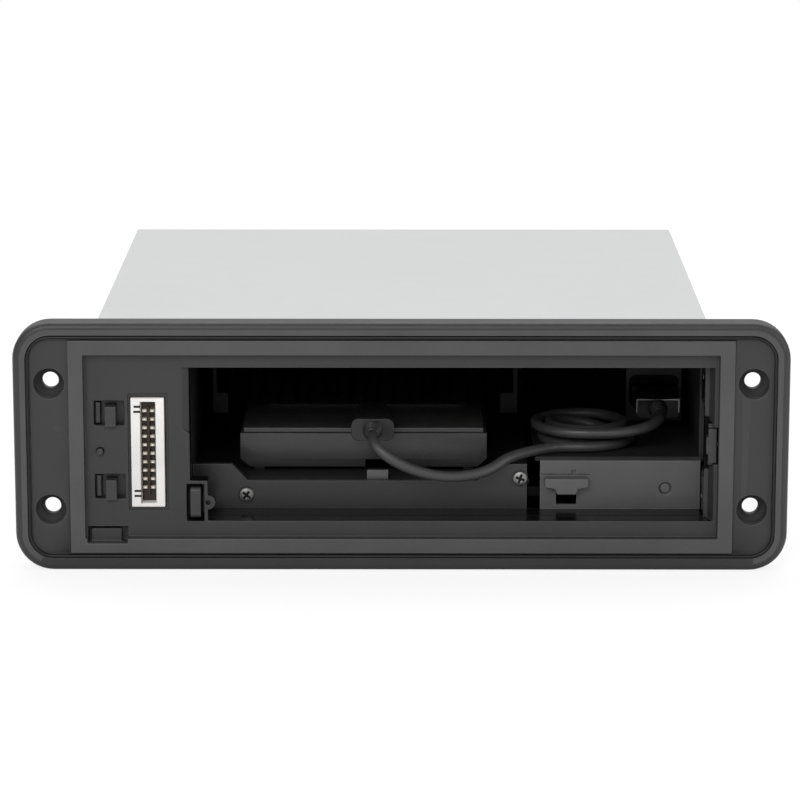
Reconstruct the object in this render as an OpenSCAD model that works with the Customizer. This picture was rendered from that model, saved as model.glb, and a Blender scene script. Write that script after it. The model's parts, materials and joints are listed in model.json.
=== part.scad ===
// Sealed motorcycle stereo: a moulded bezel before a sheet-metal chassis, with a pull-out dock in its bay.
// Origin: centre of the four fixing holes on the bezel's back face. +X is right seen from the front,
// +Y runs back into the chassis and +Z is up. All sizes are millimetres.

/* [Bay] */
// Width of the bay's opening
bay_w = 150; // [148:0.5:165]
// Height of the bay's opening
bay_h = 45.6; // [45:0.1:52]
// Depth of the bay behind the bezel's back face
bay_l = 176; // [176:1:200]
// Width of the connector panel beside the bay
panel_w = 30.5; // [30.5:0.5:36]
// Width of the strip between the bay and the right edge of the panel recess
strip_w = 3.5; // [3.5:0.1:5]
// Height of the sill below the bay
sill_h = 4.8; // [4.8:0.1:7]
// Height of the strip above the bay
head_h = 4; // [3:0.1:6]
// Wall of the bay's tub
tub_t = 1.5; // [1.2:0.1:1.7]

/* [Bezel] */
// Width of the raised frame round the panel recess
frame_w = 4.5; // [4:0.1:6]
// Width of each ear beside the frame
ear_w = 11.1; // [10.6:0.1:16]
// Gap between the frame and the rim along the top and bottom
rim_gap = 0.25; // [0.2:0.05:3]
// Width of the rim
rim_w = 4.9; // [4.7:0.1:5.2]
// Outer corner radius
bezel_r = 11; // [9:0.5:14]
// Thickness at the ears
ear_t = 8; // [7.6:0.1:10]
// Rise of the rim and the frame above the ears
rim_rise = 1; // [0.8:0.1:1.4]
// Radius on the rim's outer front edge
rim_round = 2; // [1:0.1:2.2]
// How far the rim's outer side slopes in at the back
rim_slope = 0.6; // [0.2:0.1:1]
// Depth of the panel recess behind the frame
recess_d = 2.5; // [2.2:0.1:2.8]
// Skin of the connector panel
skin_t = 3; // [2.6:0.1:3.2]

/* [Face seal] */
// Width of the seal's rebate along the rim's inner edge
groove_w = 1.1; // [0.9:0.1:1.4]
// Depth of the seal's rebate
groove_d = 0.8; // [0.6:0.1:1.2]
// Height of the seal above the rim
seal_proud = 0.3; // [0.1:0.1:0.5]

/* [Fixing holes] */
// Height between the fixing holes
hole_dz = 37.5; // [34:0.5:42]
// Bore of each fixing hole
hole_d = 4.8; // [4.3:0.1:5.5]
// Diameter of the screw head's counterbore
head_d = 8.8; // [8:0.1:9.5]
// Depth of the counterbore
head_depth = 3.2; // [2.5:0.1:4]
// Thickness of the gasket behind the bezel
gasket_t = 2; // [1:0.25:3]

/* [Chassis] */
// Distance of the chassis side beyond the bay's right edge
case_side = 2.5; // [2.5:0.1:4]
// Space between the bay's top and the chassis top
over_bay = 7.3; // [6:0.1:12]
// Space between the sill and the chassis bottom
under_bay = 8.1; // [8:0.1:12]
// Space between the bay's back wall and the rear panel
rear_space = 15; // [14:0.5:30]
// Thickness of the chassis sheet
sheet_t = 1; // [0.8:0.1:1.2]
// Height of the base's side flanges
flange_h = 10; // [9:0.5:12]

/* [Apron and ledge] */
// Distance of the apron and the ledge behind the bezel's back face
apron_y = 8; // [7:0.5:10]
// Thickness of the apron and the ledge
apron_t = 2; // [1.6:0.1:2.4]
// Height of the apron's ends above the sill
apron_h = 13.6; // [13:0.1:14.6]
// Height of the cut-out's edge above the sill
cut_h = 8.6; // [8:0.1:9]
// Width of the cut-out at its lower edge
cut_w = 68; // [64:0.5:70]
// Width of the sloped ends of the cut-out
cut_slope = 4.8; // [3:0.1:5.5]
// Width of the cable well beside the dock
well_w = 50.5; // [50:0.5:56]
// Height of the well's floor above the sill
well_h = 14.7; // [14.2:0.1:16]
// Space for the latch bar behind the apron
gallery = 3; // [2.8:0.1:4]

/* [Dock tray] */
// Distance of the dock's centre from the bay's left edge
dock_in = 50.1; // [49:0.1:52]
// Width of the tray
tray_w = 73.7; // [70:0.1:76]
// Gap between the tray's back and the bay's back wall
tray_rest = 4; // [3:0.5:15]
// Height of the tray below its top plate
tray_h = 10.6; // [10:0.1:11.5]
// Height of the tray's underside above the sill
tray_lift = 9.1; // [8.8:0.1:9.6]
// Setback of the tray's front behind the apron's front
tray_back = 14; // [13:0.5:18]
// Travel of the tray
tray_travel = 75; // [50:1:85]
// Side wall of the tray
tray_wall = 3.7; // [3.4:0.1:5]
// Top and front wall of the tray
tray_skin = 2; // [1.6:0.1:2.4]
// Bevel along the tray's lower edges
tray_bevel = 2.8; // [1.5:0.1:3.1]
// Thickness of the tray's top plate
bed_t = 1.5; // [1.2:0.1:2]
// Thickness of the non-slip mat
mat_t = 1.6; // [1.2:0.1:2]
// Clear width between the hanging guides
guide_gap = 81.9; // [80:0.1:84]
// Thickness of the guides
guide_t = 1.5; // [1.2:0.1:2]
// Width of the left guide's lip and web
left_lip = 4.9; // [4:0.1:6]
// Width of the right guide's lip and web
right_lip = 5.4; // [4:0.1:6]

/* [Release tab] */
// Width of the thumb tab
tab_w = 12.8; // [11:0.1:14]
// Height of the thumb tab
tab_h = 4.8; // [4.4:0.1:5.4]
// How far the thumb tab stands proud of the ledge
tab_proud = 3; // [2:0.1:4]
// Travel of the thumb tab
tab_travel = 4.2; // [3.5:0.1:4.3]
// Thickness of the latch bar
bar_t = 1.5; // [1.2:0.1:1.8]
// Height of the latch bar
bar_h = 3; // [2.5:0.1:3.2]
// Width of the stop tooth under the tray
tooth_w = 6.3; // [5:0.1:8]

/* [Panel fittings] */
// Width of the connector's shell
conn_w = 9.7; // [9.4:0.1:10.4]
// Height of the connector's shell
conn_h = 32.5; // [32.4:0.1:36]
// Width of the connector's slot
slot_w = 4.3; // [4:0.1:5]
// Height of the connector's slot
slot_h = 30.2; // [28:0.1:31]
// Pitch of the connector's pins
pin_pitch = 2.54; // [2.4:0.02:2.7]
// Thickness of a connector pin
pin_w = 0.64; // [0.5:0.02:0.8]
// Width of a panel hook
hook_w = 3.2; // [2.6:0.1:4]
// Height of a panel hook
hook_h = 6.1; // [5.4:0.1:6.6]
// Diameter of the sense pin
sense_d = 2; // [1.6:0.1:2.4]
// Width of the ejector's block
ejector_w = 3.1; // [2.8:0.1:3.2]
// Height of the ejector's block
ejector_h = 9; // [8.6:0.1:9.2]
// Gap round the ejector in its window
ejector_room = 1; // [0.8:0.1:1.1]
// Width of the catch
catch_w = 2.4; // [2.2:0.1:2.6]
// Height of the catch
catch_h = 10.3; // [9:0.1:10.6]
// Diameter of the reset button
reset_d = 3; // [2.4:0.1:3.6]

/* [USB] */
// Distance of the USB bracket behind the bezel's back face
usb_y = 61; // [61:0.5:66]
// Width of the plug's moulding
plug_w = 12.9; // [12.6:0.1:14]
// Height of the plug's moulding
plug_h = 5.8; // [5.6:0.1:7.4]
// Length of the plug's moulding
plug_l = 18; // [15:0.1:18.4]
// Diameter of the cable
cable_d = 3.2; // [3:0.1:3.3]

/* [Rear] */
// Width of the heat sink
sink_w = 62; // [50:1:66]
// Height of the heat sink
sink_h = 46; // [36:1:50]
// Depth of the heat sink's fins
fin_l = 9; // [5:0.5:14]
// Thickness of a fin
fin_t = 1.6; // [1.2:0.1:2]
// Number of fins
fin_count = 13; // [8:1:14]
// Radius of the aerial socket's sleeve
aerial_r = 5.6; // [5.4:0.1:6]
// Radius of a line-out socket
line_r = 4.15; // [4:0.05:4.3]

/* [Clearances] */
// Gap round a sliding piece
slide_gap = 0.3; // [0.2:0.05:0.35]
// Gap round a piece set in a window
set_gap = 0.2; // [0.1:0.05:0.3]
// Radial gap round a pin or screw in its hole
pin_gap = 0.05; // [0.02:0.01:0.08]

/* [Hidden] */
$fn = 48;
// A cutter reaches this far past the face that it breaks
over = 1;

// Bezel planes and outlines
recess_w = panel_w + bay_w + strip_w;
recess_h = sill_h + bay_h + head_h;
ring_w = recess_w + 2 * frame_w;
ring_h = recess_h + 2 * frame_w;
bezel_w = ring_w + 2 * (ear_w + rim_w);
bezel_h = ring_h + 2 * (rim_gap + rim_w);
rim_h = ear_t + rim_rise;
front_y = -rim_h;
recess_y = front_y + recess_d;
skin_y = recess_y + skin_t;
hole_x = (ring_w + ear_w) / 2;
hole_z = hole_dz / 2;
head_cone = (head_d - hole_d) / 2;
gasket_in = 2;
rim_slope_l = 2.2;
groove_in = rim_w - groove_w;
gasket_hole = 0.8;
mouth_side = 2.4;
mouth_step = 1.2;
mouth_y = -1.5;
bay_edge_w = 2.2;
bay_edge_d = 1.8;
bay_edge_z = 27.6;

// Bay and chassis
bay_x0 = panel_w - recess_w / 2;
bay_x1 = bay_x0 + bay_w;
bay_z0 = sill_h - recess_h / 2;
bay_z1 = bay_z0 + bay_h;
case_x = bay_x1 + case_side;
case_z0 = bay_z0 - under_bay;
case_z1 = bay_z1 + over_bay;
case_l = bay_l + rear_space;
inner_x = case_x - sheet_t;
inner_z0 = case_z0 + sheet_t;
inner_z1 = case_z1 - sheet_t;
floor_y = apron_y + apron_t + gallery;
lug_t = 1.4;
lug_l = floor_y - set_gap;
lug_in = inner_x - set_gap - lug_t;
lug_reach = 16;
lug_from = 10;
lug_root_w = 3.2;
lug_root_t = 1.4;
lug_root_h = 14;
flange_x1 = inner_x - 0.1;
flange_x0 = flange_x1 - sheet_t;

// Tub levels
tub_x0 = bay_x0 - slide_gap;
tub_x1 = inner_x - set_gap - tub_t - 0.3;
tub_top = bay_z1 + 0.8;
tub_back = bay_l;
well_x0 = bay_x1 - well_w;
well_z = bay_z0 + well_h;
tray_z0 = bay_z0 + tray_lift;
floor_gap = 1.2;
floor_z = tray_z0 - floor_gap;
trough_z = case_z0 + sheet_t + 0.6 + tub_t;

// Dock
dock_x = bay_x0 + dock_in;
tray_x0 = dock_x - tray_w / 2;
tray_x1 = dock_x + tray_w / 2;
tray_y0 = apron_y + tray_back;
tray_y1 = bay_l - tray_rest;
tray_z1 = tray_z0 + tray_h;
bed_z = tray_z1 + bed_t;
bed_inset = 1;
mat_sink = 0.7;
mat_front = 30;
mat_rear = 4;
mat_side = 5;
mat_r = 4;
mat_ribs = 13;
mat_rib_pitch = 4.4;
mat_rib_w = 1.4;
mat_rib_d = 0.5;
lip_z = bed_z + 1.5;
guide_y0 = tray_y0 + 14;
guide_y1 = bay_l - 4;
guide_foot = 6.5;
runner_w = 3;

// Release tab and latch bar
tab_x = well_x0 + 10.65;
tab_z1 = well_z - 4.9;
tab_z0 = tab_z1 - tab_h;
stem_w = 5.4;
stem_z1 = tab_z1 - 0.8;
stem_z0 = stem_z1 - 3.2;
bar_y0 = apron_y + apron_t + 0.6;
bar_y1 = bar_y0 + bar_t;
bar_z1 = stem_z0 + 0.4;
bar_z0 = bar_z1 - bar_h;
tooth_x = dock_x + 4.3;
tooth_z = tray_z0 + 2;
stop_y = bar_y1 + slide_gap + tray_travel;
latch_spring_x = dock_x + 26;

// Connector panel fittings, measured from the recess's left edge
left_x = -recess_w / 2;
conn_x = left_x + 18.3;
conn_z = bay_z0 + 20.4;
conn_back = 4;
pins_per_row = 10;
row_gap = 2.9;
contact_w = 1.3;
contact_t = 0.8;
contact_gap = 0.15;
core_in = 3.4;
hook_x = left_x + 7.6;
hook_zs = [bay_z0 + 32.1, bay_z0 + 10.25];
panel_wall = 2.2;
window_w = 8.7;
window_h = 7.2;
hook_drop_t = 1.4;
sense_x = left_x + 4.4;
sense_z = bay_z0 + 20.8;
sense_travel = 1.2;
ejector_x = bay_x0 + 1.5;
ejector_z = bay_z0 + 5.4;
ejector_lip = 0.5;
ejector_back = 1.5;
corner_w = 5.1;
corner_h = 12;
catch_x = bay_x1 + 0.8;
catch_z = bay_z0 + 22.4;
catch_travel = 1.8;
catch_nose = 0.6;
catch_y0 = recess_y + 1.9;
catch_y1 = catch_y0 + 2.6;
spring_room = 5.3;
reset_x = bay_x1 - 10.6;
reset_z = bay_z0 + 6.2;
reset_travel = 0.8;
touch_gap = 0.1;
switch_w = 6;
switch_t = 2.5;
sense_l = 3.8;
sense_offset = 1.6;

// USB and cable
usb_x = bay_x1 - 10.8;
usb_z = well_z + 8.3;
usb_face = usb_y - 1;
pocket_w = 14.8;
pocket_h = 9.7;
pocket_d = 0.8;
pocket_z = 1.35;
socket_mouth_w = 13.2;
socket_mouth_h = 5.8;
tip_w = 12;
tip_h = 4.5;
metal_t = 0.35;
plug_y1 = usb_face - slide_gap;
plug_y0 = plug_y1 - plug_l;
boot_l = 7;
micro_x = dock_x + 2.8;
micro_z = bed_z + 2.35;
collar_z = micro_z - 1.1;
micro_w = 11;
micro_h = 4.5;
micro_l = 14;
collar_w = 12.7;
collar_h = 6.7;
collar_l = 7;
micro_y0 = tray_y0 - 0.5;

// Hanging stretch of the lead, from the micro plug's boot down in front of the apron and over its edge
lead_points = [
  [-8.6, 8.5, 0.05], [-8.6, 5, 0.05], [-8, 1.6, -0.9], [-6.2, -0.6, -2.7], [-3.2, -1.6, -4.9], [0.8, -1.8, -7.1],
  [5.6, -1.5, -9], [11, -0.7, -10.3], [16.6, 0.6, -10.8], [22, 2.2, -10.4], [26.6, 4.2, -9.2],
  [30.4, 6.6, -7.2], [34.2, 9.8, -6.4], [38.2, 13, -6.1], [42.4, 16, -6], [45.4, 17.8, -6],
  [48, 18.3, -6], [51.3, 18.3, -6]
];
// Short stretch from the coil round to the plug's boot
tail_points = [
  [57.7, 18.3, -1.8], [61, 18.3, -1.8], [65, 18.5, -1.6], [69.6, 19.5, -1.1], [73.9, 22.2, -0.4],
  [76.7, 26.4, 0.3], [77.7, 30.8, 0.6], [77.7, 34.7, 0.6]
];
// Loose coil on the well's floor: in on the lower layer, up a layer in half a turn, and out on the upper one
coil_x = 54.5;
coil_y = 33.5;
coil_r = 15.2;
coil_pitch = 4.2;
coil_z = -6;
coil_in = 1.25;
coil_climb = 0.5;
coil_turns = 3;
coil_rings = 24;
coil_end = 3.2;

// Screws that hold the chassis and the boards
case_screw_r = 1.5;
case_head_r = 2.9;
case_head_h = 1.7;
case_screw_l = 2.6;

// Electronics
board_t = 1.6;
board_z = case_z0 + sheet_t + 3.1;
board_x = flange_x0 - 2.5;
board_y0 = floor_y + 5;
board_y1 = case_l - 2.5;
board_top = board_z + board_t;
post_r = 3;
post_x = board_x - 6;
post_ys = [board_y0 + 6, (board_y0 + board_y1) / 2, board_y1 - 16];
front_board_y = conn_back;
front_board_x0 = case_x - case_screw_l - set_gap;
front_board_x1 = bay_x0 - slide_gap - tub_t - 0.8;
left_mid = -(lug_in - front_board_x1) / 2;
cap_r = 8;
cap_h = 30;
cap_bead_z = 2.2;
cap_bead_r = 1.1;
cap_count = 3;
cap_gap = (post_ys[2] - post_ys[1] - 2 * case_head_r - 2 * cap_count * cap_r) / (cap_count + 1);
choke_r = 7.5;
choke_wire = 3;
choke_y = post_ys[1] - 18;
rear_y = case_l;
socket_x = 3;
socket_w = 30;
socket_h = 16;
socket_z = board_top + socket_h / 2;
socket_out = 8;
socket_wall = 1.5;
socket_pitch = 3.3;
aerial_x = 34;
line_x = 58;
line_dx = 14;
line_dz = 12;
line_w = 27;
line_h = 24;
line_z = board_top + line_h / 2;
fuse_x = 80;
fuse_w = 10;
fuse_h = 12;
fuse_z = board_top + fuse_h / 2;
sink_x = -54;
sink_base = 3;
chip_w = 20;
chip_t = 2.2;
chip_from = 52;
can_w = 30;
can_l = 40;
can_left = 14;
can_from = 24;
can_gap = 0.6;
can_hole_r = 1.6;
can_hole_pitch = 9;
amp_w = 25;
amp_t = 4.6;
amp_h = 18;
amp_leg_l = 5;
amp_leg_w = 0.8;
amp_leg_t = 0.5;
amp_leg_pitch = 2.4;
socket_in = 10;
socket_floor = 3;
socket_key_w = 5;
socket_key_l = 6;
power_row = 6;
power_pin_w = 1.2;
power_pin_t = 0.8;
power_pin_in = 6;
aerial_l = 9;
aerial_flange = 2.2;
aerial_flange_t = 1.5;
aerial_nut = 1.6;
aerial_nut_t = 2;
aerial_wall = 0.9;
aerial_core_r = 2.3;
aerial_bore_r = 1.5;
line_in = 11;
line_l = 9;
line_bore_r = 1.65;
fuse_in = 11;
fuse_lip = 2;
fuse_depth = 6;
fuse_wall_x = 1.8;
fuse_wall_z = 1.2;
fuse_gap = 0.8;
fuse_grip = 5;
fuse_blade_w = 2;
fuse_blade_t = 1;
ribbon_t = 0.6;
ribbon_w = 10;
ribbon_rise = 9;
ribbon_bend = 4;
ribbon_run = 12;

// Screw places
rear_flange_l = 11;
side_screws = concat(
  [for (y = [40, 100, 160]) [y * case_l / 191, inner_z0 + flange_h - 4]],
  [for (z = [-1, 1]) [lug_l / 2, z * (lug_from + lug_reach / 2)]],
  [for (z = [-1, 1]) [rear_y - rear_flange_l / 2 - sheet_t, z * 14]]
);
apron_screw_r = 1.2;
apron_head_r = 2.3;
apron_head_h = 1.3;
apron_screw_in = 5;
apron_boss_in = 8;
apron_boss_r = 2.5;
apron_slot_l = 2.6;
apron_slot_w = 0.6;
apron_slot_d = 0.7;
apron_screws_at = [[dock_x - 34.4, bay_z0 + 4.4], [well_x0 - 3, bay_z0 + 9.4]];

function unit(v) = v / norm(v);
function heading(path, i) = unit(path[min(i + 1, len(path) - 1)] - path[max(i - 1, 0)]);
function ring(path, i, r, sides) =
  let (t = heading(path, i), u = unit(cross([0, 0, 1], t)), v = cross(t, u))
  [for (k = [0:sides - 1]) path[i] + r * (cos(360 * k / sides) * u + sin(360 * k / sides) * v)];
function least_gap(path, d, apart) =
  min([
    for (i = [0:len(path) - 1], j = [0:len(path) - 1])
      if (j - i > apart) norm(path[i] - path[j]) - d
  ]);
function helix(l, r, turns, rings) =
  [for (k = [0:turns * rings]) [r * cos(360 * k / rings), r * sin(360 * k / rings), l * k / (turns * rings)]];
function coil_radius(t) =
  t < coil_in ? coil_r - coil_pitch * t
  : t < coil_in + coil_climb ? coil_r - coil_pitch * coil_in
  : coil_r - coil_pitch * coil_in + coil_pitch * (t - coil_in - coil_climb);
function coil_height(t) =
  let (s = min(1, max(0, (t - coil_in) / coil_climb)))
  coil_z + coil_pitch * s * s * (3 - 2 * s);
function coil_point(t) =
  [coil_x + coil_radius(t) * sin(360 * t), coil_y - coil_radius(t) * cos(360 * t), coil_height(t)];
coil_path = concat(
  [[coil_x - coil_end, coil_y - coil_r, coil_z]],
  [for (k = [0:coil_turns * coil_rings]) coil_point(k / coil_rings)],
  [[coil_x + coil_end, coil_y - coil_r, coil_z + coil_pitch]]
);
echo(least_gap_of_cable_coil = least_gap(coil_path, cable_d, coil_rings / 2));

// A box from three pairs of limits
module block(x, y, z) {
  translate([x[0], y[0], z[0]]) cube([x[1] - x[0], y[1] - y[0], z[1] - z[0]]);
}

// An outline in X and Z, carried from one depth to another
module upright(y0, y1) {
  translate([0, y1, 0]) rotate([90, 0, 0]) linear_extrude(y1 - y0) children();
}

// An outline in Y and Z, carried from one side to another
module sideways(x0, x1) {
  translate([x0, 0, 0]) rotate([90, 0, 90]) linear_extrude(x1 - x0) children();
}

// A round bar along Y, which may taper
module bar_y(x, z, y0, y1, r, r_end = undef) {
  translate([x, y0, z]) rotate([-90, 0, 0]) cylinder(h = y1 - y0, r1 = r, r2 = is_undef(r_end) ? r : r_end);
}

// A round bar along X
module bar_x(x0, x1, y, z, r) {
  translate([x0, y, z]) rotate([0, 90, 0]) cylinder(h = x1 - x0, r = r);
}

module rounded_rect(w, h, r) {
  square([w - 2 * r, h], center = true);
  square([w, h - 2 * r], center = true);
  for (x = [-1, 1], z = [-1, 1]) translate([x * (w / 2 - r), z * (h / 2 - r)]) circle(r);
}

// A section swept round a rounded rectangle: x is outward from its outline and y is toward the front
module swept_frame(w, h, r) {
  rotate([90, 0, 0]) for (turn = [0, 180]) rotate(turn) {
    translate([w / 2 - r, h / 2 - r, 0]) {
      rotate([90, 0, 0]) linear_extrude(h - 2 * r) translate([r, 0]) children();
      rotate_extrude(angle = 90) translate([r, 0]) children();
    }
    rotate(90) translate([h / 2 - r, w / 2 - r, 0]) {
      rotate([90, 0, 0]) linear_extrude(w - 2 * r) translate([r, 0]) children();
      rotate_extrude(angle = 90) translate([r, 0]) children();
    }
  }
}

// A closed tube along a path
module tube(path, r, sides) {
  last = len(path) - 1;
  points = [for (i = [0:last]) each ring(path, i, r, sides)];
  walls = [
    for (i = [0:last - 1], k = [0:sides - 1])
      let (a = i * sides + k, b = i * sides + (k + 1) % sides)
      each [[a, a + sides, b + sides], [a, b + sides, b]]
  ];
  front_cap = [for (k = [1:sides - 2]) [0, k, k + 1]];
  back_cap = [for (k = [1:sides - 2]) [last * sides, last * sides + k + 1, last * sides + k]];
  polyhedron(points = points, faces = concat(walls, front_cap, back_cap));
}

// A small compression spring standing on Z
module coil_spring(l, r, wire, turns) {
  translate([0, 0, wire]) tube(helix(l - 2 * wire, r, turns, 8), wire, 6);
}

module rim_section() {
  difference() {
    union() {
      translate([-rim_w, 0]) square([rim_w - rim_round, rim_h]);
      translate([-rim_w, 0]) square([rim_w, rim_h - rim_round]);
      translate([-rim_round, rim_h - rim_round]) circle(rim_round);
    }
    translate([-rim_w - over, rim_h - groove_d]) square([groove_w + over, groove_d + over]);
    polygon([[over, rim_slope_l], [0, rim_slope_l], [-rim_slope, 0], [-rim_slope, -over], [over, -over]]);
  }
}

module fixing_hole() {
  bar_y(0, 0, front_y - over, over, hole_d / 2);
  bar_y(0, 0, front_y - over, -ear_t + head_depth, head_d / 2);
  bar_y(0, 0, -ear_t + head_depth, -ear_t + head_depth + head_cone, head_d / 2, hole_d / 2);
}

// Lugs behind the bezel for the foremost side screws, each with a root into the panel's side wall
module lugs() {
  for (side = [0, 1], up = [0, 1]) mirror([side, 0, 0]) mirror([0, 0, up]) {
    block([lug_in, lug_in + lug_root_w], [-lug_root_t, 0], [lug_from, lug_from + lug_root_h]);
    difference() {
      block([lug_in, lug_in + lug_t], [-over, lug_l], [lug_from, lug_from + lug_reach]);
      bar_x(lug_in - over, case_x, lug_l / 2, lug_from + lug_reach / 2, case_screw_r + pin_gap);
    }
  }
}

module bay_cut() {
  difference() {
    block([bay_x0, bay_x1], [front_y - over, over], [bay_z0, bay_z1]);
    union() {
      block(
        [bay_x0 - over, bay_x0 + corner_w], [front_y - 2 * over, 2 * over],
        [bay_z0 - over, bay_z0 + corner_h]
      );
      bar_y(bay_x0 + corner_w, ejector_z, front_y - 2 * over, 2 * over, 2.2);
    }
  }
}

// Wider mouth at the bay's right edge, which narrows to a step behind the skin
module bay_mouth() {
  translate([0, 0, bay_z0]) linear_extrude(bay_h) polygon([
    [bay_x1 - over, front_y - over], [bay_x1 + mouth_side, front_y - over], [bay_x1 + mouth_side, recess_y],
    [bay_x1 + mouth_step, mouth_y], [bay_x1 - over, mouth_y]
  ]);
}

// Bevel down the bay's left edge, which ends in a slope above the ejector's corner
module bay_edge() {
  z = bay_z0 + bay_edge_z;
  intersection() {
    translate([0, 0, bay_z0]) linear_extrude(bay_h) polygon([
      [bay_x0 - bay_edge_w, recess_y], [bay_x0 + over, recess_y + bay_edge_d * (1 + over / bay_edge_w)],
      [bay_x0 + over, front_y], [bay_x0 - bay_edge_w, front_y]
    ]);
    upright(front_y, 0) polygon([
      [bay_x0 - bay_edge_w, z], [bay_x0 + over, z - bay_edge_w], [bay_x0 + over, bay_z1],
      [bay_x0 - bay_edge_w, bay_z1]
    ]);
  }
}

module connector_panel_cuts() {
  block([left_x + 1, bay_x0 - panel_wall], [skin_y, over], [over - recess_h / 2 + 0.6, recess_h / 2 - over - 0.6]);
  block(
    [conn_x - conn_w / 2 - set_gap, conn_x + conn_w / 2 + set_gap], [front_y, over],
    [conn_z - conn_h / 2 - set_gap, conn_z + conn_h / 2 + set_gap]
  );
  block(
    [conn_x - conn_w / 2 - 0.9, conn_x + conn_w / 2 + 1.2], [front_y, recess_y + 0.7],
    [conn_z - conn_h / 2 - 1, conn_z + conn_h / 2 + 1.4]
  );
  for (z = hook_zs)
    block([hook_x - 4.8, hook_x - 4.8 + window_w], [front_y, over], [z - window_h / 2, z + window_h / 2]);
  bar_y(sense_x, sense_z, front_y, over, sense_d / 2 + pin_gap);
  difference() {
    block([left_x + 0.5, left_x + 12.1], [front_y - over, recess_y + 2.4], [bay_z0 - 6.2, bay_z0 - 1.7]);
    block([left_x + 1.4, left_x + 10.3], [recess_y + 0.1, 0], [bay_z0 - 7, bay_z0 - 2.4]);
  }
}

module catch_cuts() {
  catch_x1 = catch_x + catch_w + catch_travel + slide_gap;
  block(
    [bay_x1 - over, catch_x1], [recess_y - touch_gap, catch_y1],
    [catch_z - catch_h / 2 - slide_gap, catch_z + catch_h / 2 + slide_gap]
  );
  block(
    [bay_x1 - over, catch_x + catch_w + spring_room], [catch_y0, over],
    [catch_z - catch_h / 2 - 1 - slide_gap, catch_z + catch_h / 2 + 1 + slide_gap]
  );
  block(
    [bay_x1 - over, catch_x + catch_w + spring_room + 1], [catch_y1 + 0.3, over],
    [catch_z - catch_h / 2 - 2.6, catch_z + catch_h / 2 + 2.6]
  );
}

module front_bezel() {
  color([0.2, 0.2, 0.2]) lugs();
  color([0.2, 0.2, 0.2]) difference() {
    union() {
      swept_frame(bezel_w, bezel_h, bezel_r) rim_section();
      upright(-ear_t, 0) rounded_rect(bezel_w - rim_w, bezel_h - rim_w, bezel_r - rim_w / 2);
      upright(front_y, 0) square([ring_w, ring_h], center = true);
    }
    upright(front_y - over, recess_y) square([recess_w, recess_h], center = true);
    bay_cut();
    bay_mouth();
    for (x = [-hole_x, hole_x], z = [-hole_z, hole_z]) translate([x, 0, z]) fixing_hole();
    connector_panel_cuts();
    bay_edge();
    block(
      [ejector_x - ejector_w / 2 - ejector_room, ejector_x + ejector_w / 2 + ejector_room], [front_y, over],
      [ejector_z - ejector_h / 2 - ejector_room, ejector_z + ejector_h / 2 + ejector_room]
    );
    bar_y(bay_x0 + corner_w, ejector_z, front_y, recess_y + 1.6, 0.7);
    catch_cuts();
    bar_y(-hole_x + 2.1, 5.1, front_y, -ear_t + 0.3, 1.2);
  }
}

module face_seal() {
  seal_w = groove_w - set_gap;
  color([0.08, 0.08, 0.08]) swept_frame(bezel_w, bezel_h, bezel_r)
    translate([-groove_in - groove_w / 2, rim_h - groove_d]) {
      translate([-seal_w / 2, 0]) square([seal_w, groove_d + seal_proud - seal_w / 2]);
      translate([0, groove_d + seal_proud - seal_w / 2]) circle(seal_w / 2);
    }
}

module mounting_gasket() {
  color([0.12, 0.12, 0.12]) difference() {
    upright(0, gasket_t)
      rounded_rect(bezel_w - 2 * gasket_in, bezel_h - 2 * gasket_in, bezel_r - gasket_in);
    block(
      [-case_x - case_head_h - set_gap, case_x + case_head_h + set_gap], [-over, gasket_t + over],
      [case_z0 - set_gap, case_z1 + set_gap]
    );
    for (x = [-hole_x, hole_x], z = [-hole_z, hole_z]) bar_y(x, z, -over, gasket_t + over, hole_d / 2 + gasket_hole);
  }
}

// Holes for the side screws, through both sides of the chassis
module side_holes(r, from) {
  for (at = side_screws, side = [0, 1]) mirror([side, 0, 0]) bar_x(from, case_x + over, at[0], at[1], r);
}

module chassis_base() {
  flange_y0 = lug_l + 2;
  flange_y1 = rear_y - rear_flange_l - 2 * sheet_t;
  color([0.8, 0.8, 0.8]) difference() {
    union() {
      block([-case_x, case_x], [0, case_l], [case_z0, inner_z0]);
      for (side = [0, 1]) mirror([side, 0, 0])
        block([flange_x0, flange_x1], [flange_y0, flange_y1], [case_z0, inner_z0 + flange_h]);
      for (x = [-post_x, post_x], y = post_ys)
        translate([x, y, case_z0]) cylinder(r = post_r, h = board_z - case_z0);
    }
    side_holes(case_screw_r + pin_gap, flange_x0 - over);
    for (x = [-post_x, post_x], y = post_ys)
      translate([x, y, inner_z0]) cylinder(r = case_screw_r + pin_gap, h = board_top - inner_z0);
  }
}

module top_cover() {
  color([0.85, 0.85, 0.85]) difference() {
    upright(0, case_l) difference() {
      translate([-case_x, inner_z0]) square([2 * case_x, case_z1 - inner_z0]);
      translate([-inner_x, inner_z0 - over]) square([2 * inner_x, inner_z1 - inner_z0 + over]);
    }
    side_holes(case_screw_r + 2 * pin_gap, inner_x - over);
  }
}

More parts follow.
